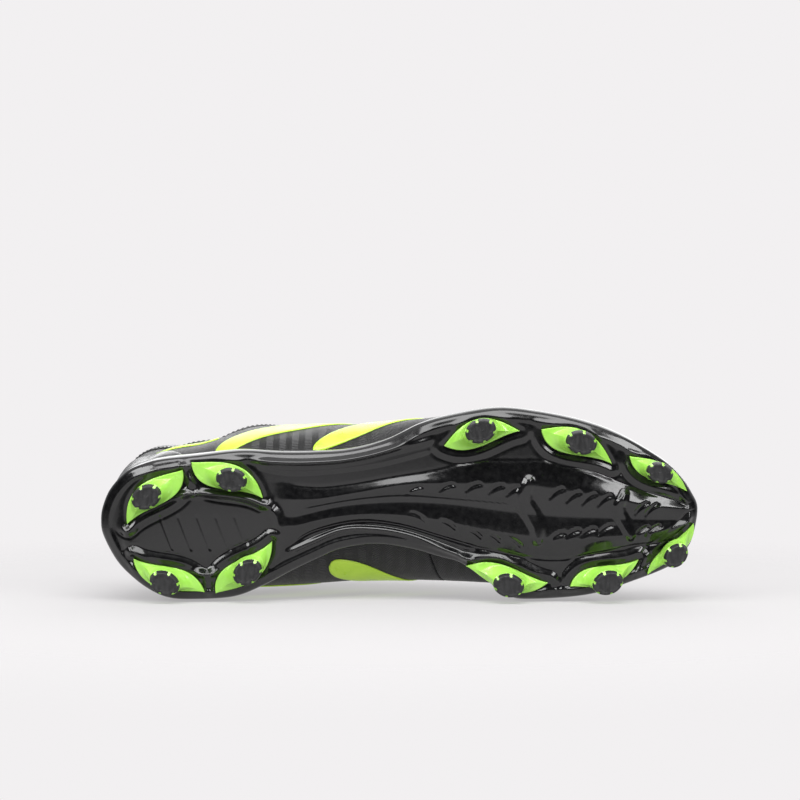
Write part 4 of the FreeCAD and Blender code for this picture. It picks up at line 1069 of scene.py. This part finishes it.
def outline_of_throat(margin):
    xs = np.linspace(x_at(0.2), THROAT_FRONT_X - THROAT_FRONT / 2, 30)
    nose = [(THROAT_FRONT_X - THROAT_FRONT / 2 + (THROAT_FRONT / 2 + margin) * math.sin(a),
             math.cos(a)) for a in np.linspace(0, math.pi, 15)[1:-1]]
    low = [(x, RIDGE(x) - throat_half(x) - margin) for x in xs]
    high = [(x, RIDGE(x) + throat_half(x) + margin) for x in xs]
    half = throat_half(xs[-1]) + margin
    return low + [(x, RIDGE(x) - half * c) for x, c in nose] + high[::-1]


throat_rings = {m: outline_of_throat(m) for m in (0.0, EYESTAY_BREADTH)}
above_line = [(x, collar_line(x)) for x in np.linspace(x_at(-0.08), x_at(0.325), 60)]
above_line += [(x_at(0.325) + 1.5, INSTEP * 1.02), (x_at(0.325) + 1.5, 260), (x_at(-0.2), 260), (x_at(-0.2), 97)]


def into_throat(p, margin=0.0):
    return np.where(p[..., 2] > COLLAR_DIP * 0.62 - 3, field(throat_rings[margin], p[..., 0], p[..., 1]), -50)


def above_collar(p):
    return field(above_line, p[..., 0], p[..., 2])


def skin(name, want, outer, inner, material, node, edge=0.8, body=SHOE, span=(0, ALONG), bulge=None):
    """A closed skin on the form where want(points) is positive, between two offsets.

    Grid corners next to the border slide along the grid to where the field is zero, so the border
    is smooth; the outer face rounds over to the border within the edge width.
    """
    s0, s1 = span
    s, t = np.meshgrid(np.arange(s0, s1, dtype=float), np.arange(AROUND, dtype=float), indexing="ij")
    value = want(FORM[s0:s1])
    pos = value > 0
    ns, nt = s.shape
    new_s, new_t, moved = s.copy(), t.copy(), np.zeros_like(pos)
    best = np.zeros_like(value)
    for ds, dt in ((1, 0), (-1, 0), (0, 1), (0, -1), (1, 1), (1, -1), (-1, 1), (-1, -1)):
        near = np.roll(np.roll(value, -ds, axis=0), -dt, axis=1)
        ok = (~pos) & (near > best)
        if ds == 1:
            ok[-1] = False
        if ds == -1:
            ok[0] = False
        share = np.where(ok, -value / np.maximum(near - value, 1e-6), 0)
        new_s = np.where(ok, s + ds * share, new_s)
        new_t = np.where(ok, t + dt * share, new_t)
        best = np.where(ok, near, best)
        moved |= ok
    keep = pos | moved
    cell = keep[:-1] & np.roll(keep, -1, axis=1)[:-1] & keep[1:] & np.roll(keep, -1, axis=1)[1:]
    some = pos[:-1] | np.roll(pos, -1, axis=1)[:-1] | pos[1:] | np.roll(pos, -1, axis=1)[1:]
    ii, jj = np.nonzero(cell & some)
    n = (jj + 1) % nt
    quads = np.stack([ii * nt + jj, ii * nt + n, (ii + 1) * nt + n, (ii + 1) * nt + jj], axis=1)
    used = np.unique(quads)
    index = np.full(ns * nt, -1)
    index[used] = np.arange(len(used))
    quads = index[quads]
    depth = np.clip(np.where(pos, value, 0).ravel()[used], 0, None)
    us, ut = new_s.ravel()[used], new_t.ravel()[used]
    flat = np.clip(depth / edge, 0, 1)
    lift = np.sqrt(1 - (1 - flat) ** 2)
    top, _ = on_form(us, ut, inner + (outer - inner) * (0.35 + 0.65 * lift)
                     + (0 if bulge is None else bulge(depth)))
    low, _ = on_form(us, ut, np.full(len(us), inner if bulge is None else inner - bulge(depth)))
    uv = np.stack([np.interp(us, np.arange(ALONG), FORM_UV[:, 0, 0]),
                   FORM_UV[np.clip(np.round(us).astype(int), 0, ALONG - 1), np.round(ut).astype(int) % AROUND, 1]], 1)
    count = len(used)
    edges = np.vstack([quads[:, [0, 1]], quads[:, [1, 2]], quads[:, [2, 3]], quads[:, [3, 0]]])
    key = edges.min(1).astype(np.int64) * count + edges.max(1)
    _, first, times = np.unique(key, return_index=True, return_counts=True)
    rim = edges[first[times == 1]]
    walls = np.stack([rim[:, 1], rim[:, 0], rim[:, 0] + count, rim[:, 1] + count], axis=1)
    faces = np.vstack([quads, quads[:, ::-1] + count, walls])
    obj = make(name, np.vstack([top, low]), faces, material, body, np.vstack([uv, uv]) * MM)
    tidy(obj, 0.000005)
    if node:
        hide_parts(*([node] if isinstance(node, str) else node))
    return obj


SEAM_Y = 3.5
vamp_ring = [(x_at(0.66), 300), (x_at(0.66), INSTEP * 0.66), (x_at(0.6), INSTEP * 0.42), (x_at(0.5), 0),
             (x_at(0.5), -300), (400, -300), (400, 300)]
foxing_ring = [(x_at(-0.1), 0), (x_at(-0.1), COLLAR_BACK * 0.72), (x_at(0.035), COLLAR_BACK * 0.72),
               (x_at(0.13), COLLAR_BACK * 0.33), (x_at(0.19), 0)]
OPEN = above_collar(FORM)
THROAT = into_throat(FORM)
STAY = into_throat(FORM, EYESTAY_BREADTH)
TO_VAMP = field(vamp_ring, FORM[..., 0], FORM[..., 2])
ABOVE_RIM = FORM[..., 2] - (sole_face(FORM[..., 0]) + PLATE_FLOOR + 6.0 + rim_more(FORM[..., 0]))
BOTTOM = FORM[..., 2] - (sole_face(FORM[..., 0]) + PLATE_FLOOR + 2.5)
FOXING = np.minimum(field(foxing_ring, FORM[..., 0], FORM[..., 2]), -OPEN - 9.0)
OUTSIDE, INSIDE = SEAM_Y - FORM[..., 1], FORM[..., 1] - SEAM_Y


def least(*fields):
    out = fields[0]
    for f in fields[1:]:
        out = np.minimum(out, f)
    return lambda p: out


ROWS, LACE_BREADTH, BORE = 6, 6.5, 4.0


def row_x(k):
    front, back = THROAT_FRONT_X - THROAT_FRONT, TOP_EYELET_X + LACE_BREADTH
    return front + (back - front) * k / (ROWS - 1)


def eyelet_places():
    """Grid places of the eyelets: where the form passes over each hole's plan place."""
    found = []
    top = FORM[:, :2 * QUARTER + 1]
    for k in range(ROWS):
        for side in (-1, 1):
            x = row_x(k)
            y = RIDGE(x) + side * (throat_half(x) + EYESTAY_BREADTH / 2)
            d = (top[..., 0] - x) ** 2 + (top[..., 1] - y) ** 2 + np.where(top[..., 2] < 40, 1e6, 0)
            i, j = np.unravel_index(np.argmin(d), d.shape)
            found.append((k, side, float(i), float(j)))
    return found


EYELETS = eyelet_places()


def holes(p):
    gap = np.full(p.shape[:2], 1e3)
    for _, _, s, t in EYELETS:
        centre = on_form(np.array([s]), np.array([t]))[0][0]
        gap = np.minimum(gap, np.linalg.norm(p - centre, axis=2) - BORE / 2)
    return gap


def upper_pieces():
    body = np.minimum(-OPEN, -THROAT)
    body = np.minimum(body, BOTTOM)
    skin("vamp_skin", least(body, TO_VAMP), 0.0, -SHELL, KNIT, "vamp", 0.5)
    for name, half in (("lateral", OUTSIDE), ("medial", INSIDE)):
        skin("quarter_" + name, least(body, -TO_VAMP, half), 0.0, -SHELL, KNIT, "quarter_" + name, 0.5)
        skin("lining_" + name, least(-OPEN, -THROAT, BOTTOM, -TO_VAMP, half), -SHELL - 0.05, -LINING,
             MESH_LINING, "quarter_lining_" + name, 0.4)
        skin("eyestay_" + name, least(STAY, -THROAT, -OPEN, half, ABOVE_RIM, holes(FORM)),
             0.85, 0.05, STAY_FILM, "eyestay_" + name, 0.7)
    skin("lining_vamp", least(-OPEN, -THROAT, BOTTOM, TO_VAMP), -SHELL - 0.05, -LINING, MESH_LINING,
         "vamp_lining", 0.4)
    skin("collar_edge", least(-OPEN, OPEN + 9.0, -STAY), 0.65, 0.05, STAY_FILM, "collar_band", 0.6)
    skin("heel_film", least(FOXING, ABOVE_RIM), 0.65, 0.05, FILM, "heel_foxing", 0.9)
    flash(-1, "lateral", FLASH_OUTER)
    flash(1, "medial", FLASH_INNER)


# Green bands seen from the side: share of length and height in millimetres. Outside, a short even
# band at the heel and two plain sweeps; inside, two plain sweeps. None of them meet.
FLASH_OUTER = [
    [(0.045, 44), (0.12, 43), (0.185, 43), (0.185, 51), (0.12, 51), (0.05, 52)],
    [(0.2, 22.5), (0.3, 39), (0.42, 62), (0.46, 76), (0.38, 73.5), (0.27, 51), (0.2, 31.5)],
    [(0.36, 27), (0.46, 37.5), (0.56, 52.5), (0.62, 61.5), (0.54, 60), (0.44, 49.5), (0.37, 34.5)],
]
FLASH_INNER = [
    [(0.22, 25.5), (0.33, 37.5), (0.44, 63), (0.47, 76.5), (0.39, 72), (0.29, 51), (0.22, 34.5)],
    [(0.39, 27), (0.49, 37.5), (0.58, 52.5), (0.63, 61.5), (0.55, 58.5), (0.46, 49.5), (0.39, 34.5)],
]


def flash(side, name, rings):
    total = np.full(FORM.shape[:2], -1e3)
    half = OUTSIDE if side < 0 else INSIDE
    for ring in rings:
        shape = closed_curve([(x_at(s), z) for s, z in ring], 90)
        total = np.maximum(total, field(shape, FORM[..., 0], FORM[..., 2]))
    skin("flash_" + name, least(total, half, ABOVE_RIM, -STAY, -OPEN - 9.6, -FOXING - 0.4), 0.62, 0.04, GREEN_FILM,
         "side_bands_" + name, 0.7)


PAD_INSET = -0.02


def collar_roll():
    """The padded collar: an even skin inside the collar line, rounded over at its borders."""
    zone = np.minimum(-OPEN - 0.3, OPEN + 22)
    zone = np.minimum(zone, x_at(0.272) - FORM[..., 0])
    obj = skin("collar_padding", lambda p: zone, -SHELL - 0.9, -SHELL - 3.2, COLLAR_CLOTH,
               "collar_foam", 2.5, bulge=lambda d: PAD_INSET)
    return obj


def tongue():
    """One padded tongue under the laces, quilted across, crowned, with a turned free end."""
    rows, cols = 150, 56
    root, tip = x_at(0.69), x_at(0.262)
    xs = np.linspace(root, tip, rows)
    half = np.interp(xs, [tip, tip + 6, (root + tip) / 2, root], [15.0, 21.5, 20.5, 14.0])
    top = FORM[:, :2 * QUARTER + 1]
    v = np.linspace(-1, 1, cols)
    # Places on the form by plan position, found along each cross line.
    reach = []
    for x, h in zip(xs, half):
        i = int(np.argmin(np.abs(top[:, QUARTER, 0] - x)))
        lo, hi = max(i - 1, 0), min(i + 1, ALONG - 1)
        ring_x = top[i]
        order = np.argsort(ring_x[:, 1])
        y = RIDGE(x) + v * h
        z = np.interp(y, ring_x[order, 1], ring_x[order, 2])
        n = FACING[i, :2 * QUARTER + 1][order]
        nn = np.stack([np.interp(y, ring_x[order, 1], n[:, k]) for k in range(3)], axis=1)
        nn /= np.linalg.norm(nn, axis=1)[:, None]
        slope = (top[hi, QUARTER, 2] - top[lo, QUARTER, 2]) / (top[hi, QUARTER, 0] - top[lo, QUARTER, 0])
        z = z + slope * (x - ring_x[QUARTER, 0])
        reach.append((np.column_stack([np.full(cols, x), y, z]), nn))
    centre = np.array([r[0] for r in reach])
    facing = np.array([r[1] for r in reach])
    u = np.linspace(0, 1, rows)[:, None]
    edge = np.clip((1 - np.abs(v)) / 0.16, 0, 1)
    crown = np.sqrt(1 - (1 - edge) ** 2)
    ends = np.clip(np.minimum(u / 0.03, (1 - u) / 0.035), 0, 1)
    ends = np.sqrt(1 - (1 - ends) ** 2)
    quilt = 0.55 * np.abs(np.sin(np.pi * u * 13)) ** 0.5
    thick = (0.5 + 3.3 * crown) * (0.15 + 0.85 * ends)
    lift = 5.0 * step(0.9, 1.0, u)
    under = -LINING - 0.35 - 0.7 * step(0.86, 0.92, u)
    upper = centre + facing * (under - 0.9 + quilt * crown * ends * 0.9 + lift)[..., None]
    lower = centre + facing * (under - 0.6 - thick + lift)[..., None]
    verts = np.vstack([upper.reshape(-1, 3), lower.reshape(-1, 3)])
    n = rows * cols
    loop = np.concatenate([np.arange(cols), np.arange(2, rows + 1) * cols - 1, n - 1 - np.arange(1, cols),
                           (np.arange(1, rows - 1) * cols)[::-1]])
    nxt = np.roll(loop, -1)
    walls = np.stack([loop, nxt, nxt + n, loop + n], axis=1)
    faces = np.vstack([grid_faces(rows, cols), grid_faces(rows, cols, first=n, flip=True), walls])
    uv = np.stack(np.meshgrid(xs, v * 20, indexing="ij"), axis=-1).reshape(-1, 2)
    obj = make("tongue_padding", verts, faces, TONGUE_CLOTH, None, np.vstack([uv, uv]) * MM)
    tidy(obj, 0.000005)
    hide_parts("tongue_base", "tongue_top")
    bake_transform(obj)
    return obj


def tube(path, up, section_points):
    """Sweep a closed section along a path: up gives the section's second axis at each point."""
    path, up = np.asarray(path, float), np.asarray(up, float)
    along = np.gradient(path, axis=0)
    along /= np.linalg.norm(along, axis=1)[:, None]
    side = np.cross(up, along)
    side /= np.linalg.norm(side, axis=1)[:, None]
    up = np.cross(along, side)
    sec = np.asarray(section_points, float)
    return (path[:, None] + side[:, None] * sec[None, :, :1] + up[:, None] * sec[None, :, 1:]).reshape(-1, 3)


def laces():
    """Flat woven lace: a bar over the tongue between each pair of eyelets, turning down into them."""
    verts, faces, uvs = [], [], []
    angle = np.linspace(0, 2 * np.pi, 17)[:-1]
    half_wall = 0.62
    flat = np.column_stack([np.sign(np.cos(angle)) * np.abs(np.cos(angle)) ** 0.55 * LACE_BREADTH / 2,
                            np.sign(np.sin(angle)) * np.abs(np.sin(angle)) ** 0.8 * half_wall])
    total = 0
    for k in range(ROWS):
        ends = [(s, t) for row, _, s, t in EYELETS if row == k]
        (s0, t0), (s1, t1) = ends
        m = np.linspace(0, 1, 46)
        s, t = s0 + (s1 - s0) * m, t0 + (t1 - t0) * m
        over = 1.7 - 4.2 * (step(0.045, 0.0, m) + step(0.955, 1.0, m))
        path, up = on_form(s, t, over)
        squeeze = 1 - 0.42 * (step(0.09, 0.02, m) + step(0.91, 0.98, m))
        here = tube(path, up, flat)
        centre = np.repeat(path, len(flat), axis=0)
        here = centre + (here - centre) * np.repeat(squeeze, len(flat))[:, None]
        n = len(flat)
        verts.append(here)
        faces.append(grid_faces(46, n, wrap=True, first=total))
        far = total + 45 * n
        a = np.arange(n // 2 - 1)
        faces.append(total + np.column_stack([a, a + 1, n - 2 - a, n - 1 - a]))
        faces.append(far + np.column_stack([n - 1 - a, n - 2 - a, a + 1, a]))
        length = np.concatenate([[0], np.cumsum(np.linalg.norm(np.diff(path, axis=0), axis=1))])
        uvs.append(np.column_stack([np.repeat(length, n), np.tile(flat[:, 0], 46)]))
        total += len(here)
    obj = make("lace_woven", np.vstack(verts), np.vstack(faces), LACE, SHOE, np.vstack(uvs) * MM)
    tidy(obj, 0.000002)
    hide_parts("lace")


def eyelet_rings():
    """Small moulded rims pressed into the eyestays round each hole."""
    verts, faces, total = [], [], 0
    around, across = 28, 10
    for _, _, s, t in EYELETS:
        centre, up = (v[0] for v in on_form(np.array([s]), np.array([t]), np.array([0.7])))
        e1 = np.cross(up, (0, 1, 0))
        e1 /= np.linalg.norm(e1)
        e2 = np.cross(up, e1)
        a = np.linspace(0, 2 * np.pi, around, endpoint=False)[:, None]
        b = np.linspace(0, 2 * np.pi, across, endpoint=False)[None, :]
        r = BORE / 2 + 0.25 + 0.55 * np.cos(b)
        p = (centre + (r * np.cos(a))[..., None] * e1 + (r * np.sin(a))[..., None] * e2
             + (0.45 * np.sin(b) + 0 * a)[..., None] * up)
        verts.append(p.reshape(-1, 3))
        quads = grid_faces(around + 1, across, wrap=True) % (around * across) + total
        faces.append(quads)
        total += around * across
    obj = make("eyelet_rims", np.vstack(verts), np.vstack(faces), FILM, SHOE)
    tidy(obj, 0.000001)


def stitches(name, lines, material, pitch=2.6, length=1.7, radius=0.28):
    """Rows of small thread ellipsoids along lines that are given as form places and offsets."""
    verts, faces, total = [], [], 0
    ring = np.linspace(0, 2 * np.pi, 6, endpoint=False)
    for path, up in lines:
        reach = np.concatenate([[0], np.cumsum(np.linalg.norm(np.diff(path, axis=0), axis=1))])
        at = np.arange(pitch / 2, reach[-1], pitch)
        for d in at:
            p = np.array([np.interp(d, reach, path[:, k]) for k in range(3)])
            q = np.array([np.interp(d + 0.4, reach, path[:, k]) for k in range(3)])
            n = np.array([np.interp(d, reach, up[:, k]) for k in range(3)])
            a = q - p
            if np.linalg.norm(a) < 1e-6:
                continue
            a /= np.linalg.norm(a)
            b = np.cross(n, a)
            b /= np.linalg.norm(b)
            body = [p - a * length / 2 - n * 0.2]
            for f, r in ((-0.33, 0.8), (0, 1.0), (0.33, 0.8)):
                body += [p + a * length * f + (b * math.cos(g) + n * math.sin(g)) * radius * r for g in ring]
            body.append(p + a * length / 2 - n * 0.2)
            verts += body
            m = total
            for g in range(6):
                h = (g + 1) % 6
                faces += [[m, m + 1 + h, m + 1 + g, m + 1 + g], [m + 1 + g, m + 1 + h, m + 7 + h, m + 7 + g],
                          [m + 7 + g, m + 7 + h, m + 13 + h, m + 13 + g], [m + 13 + g, m + 13 + h, m + 19, m + 19]]
            total += 20
    tris = [f if f[2] != f[3] else f[:3] for f in faces]
    mesh = bpy.data.meshes.new(name)
    mesh.from_pydata([tuple((v + AXIS_SHIFT) * MM) for v in verts], [], tris)
    mesh.polygons.foreach_set("use_smooth", np.full(len(mesh.polygons), True))
    mesh.materials.append(material)
    obj = bpy.data.objects.new(name, mesh)
    bpy.context.scene.collection.objects.link(obj)
    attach(obj, SHOE)
    tidy(obj, 0.000001)


def border_line(value, off, mask=None):
    """Polyline on the form where a field is zero, one point per grid column or row, with facings."""
    hits = []
    for axis in (0, 1):
        a = value if axis == 0 else value.T
        m = None if mask is None else (mask if axis == 0 else mask.T)
        change = (a[:-1] > 0) != (a[1:] > 0)
        if m is not None:
            change &= m[:-1] & m[1:]
        i, j = np.nonzero(change)
        share = a[i, j] / (a[i, j] - a[i + 1, j])
        s, t = (i + share, j) if axis == 0 else (j, i + share)
        hits.append(np.column_stack([s, t]))
    pts = np.vstack(hits)
    if not len(pts):
        return []
    here, facing = on_form(pts[:, 0], pts[:, 1], np.full(len(pts), off))
    left = list(range(len(here)))
    lines = []
    while left:
        chain = [left.pop(0)]
        for end in (0, 1):
            while left:
                d = np.linalg.norm(here[left] - here[chain[-1 if end == 0 else 0]], axis=1)
                k = int(np.argmin(d))
                if d[k] > 2.2:
                    break
                nxt = left.pop(k)
                chain = chain + [nxt] if end == 0 else [nxt] + chain
        if len(chain) > 12:
            lines.append((here[chain], facing[chain]))
    return lines


def sewing():
    lines = border_line(STAY - 1.8, 0.9, (THROAT < -2) & (OPEN < -2) & (ABOVE_RIM > 0))
    lines += border_line(-THROAT - 2.2, 0.9, (FORM[..., 2] > 55) & (OPEN < -2) & (STAY > 0))
    stitches("eyestay_stitching", lines, THREAD)
    low = border_line(OPEN + 7.5, 0.7, (STAY < -1) & (THROAT < -2))
    stitches("collar_stitching", low, THREAD)


# ---------------------------------------------------------------- build

camera()
floor()
world()
lights()
plate_piece()
for stud in studs:
    pad_piece(stud)
    tip_piece(stud)
upper_pieces()
collar_roll()
tongue()
laces()
eyelet_rings()
sewing()
for node, material in (("strobel_board", BOARD), ("sockliner", FOOTBED),
                       ("heel_counter", STIFF), ("toe_puff", STIFF)):
    for obj in bpy.context.scene.objects:
        if obj.get("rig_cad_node") == node:
            for k in range(len(obj.material_slots)):
                obj.material_slots[k].material = material
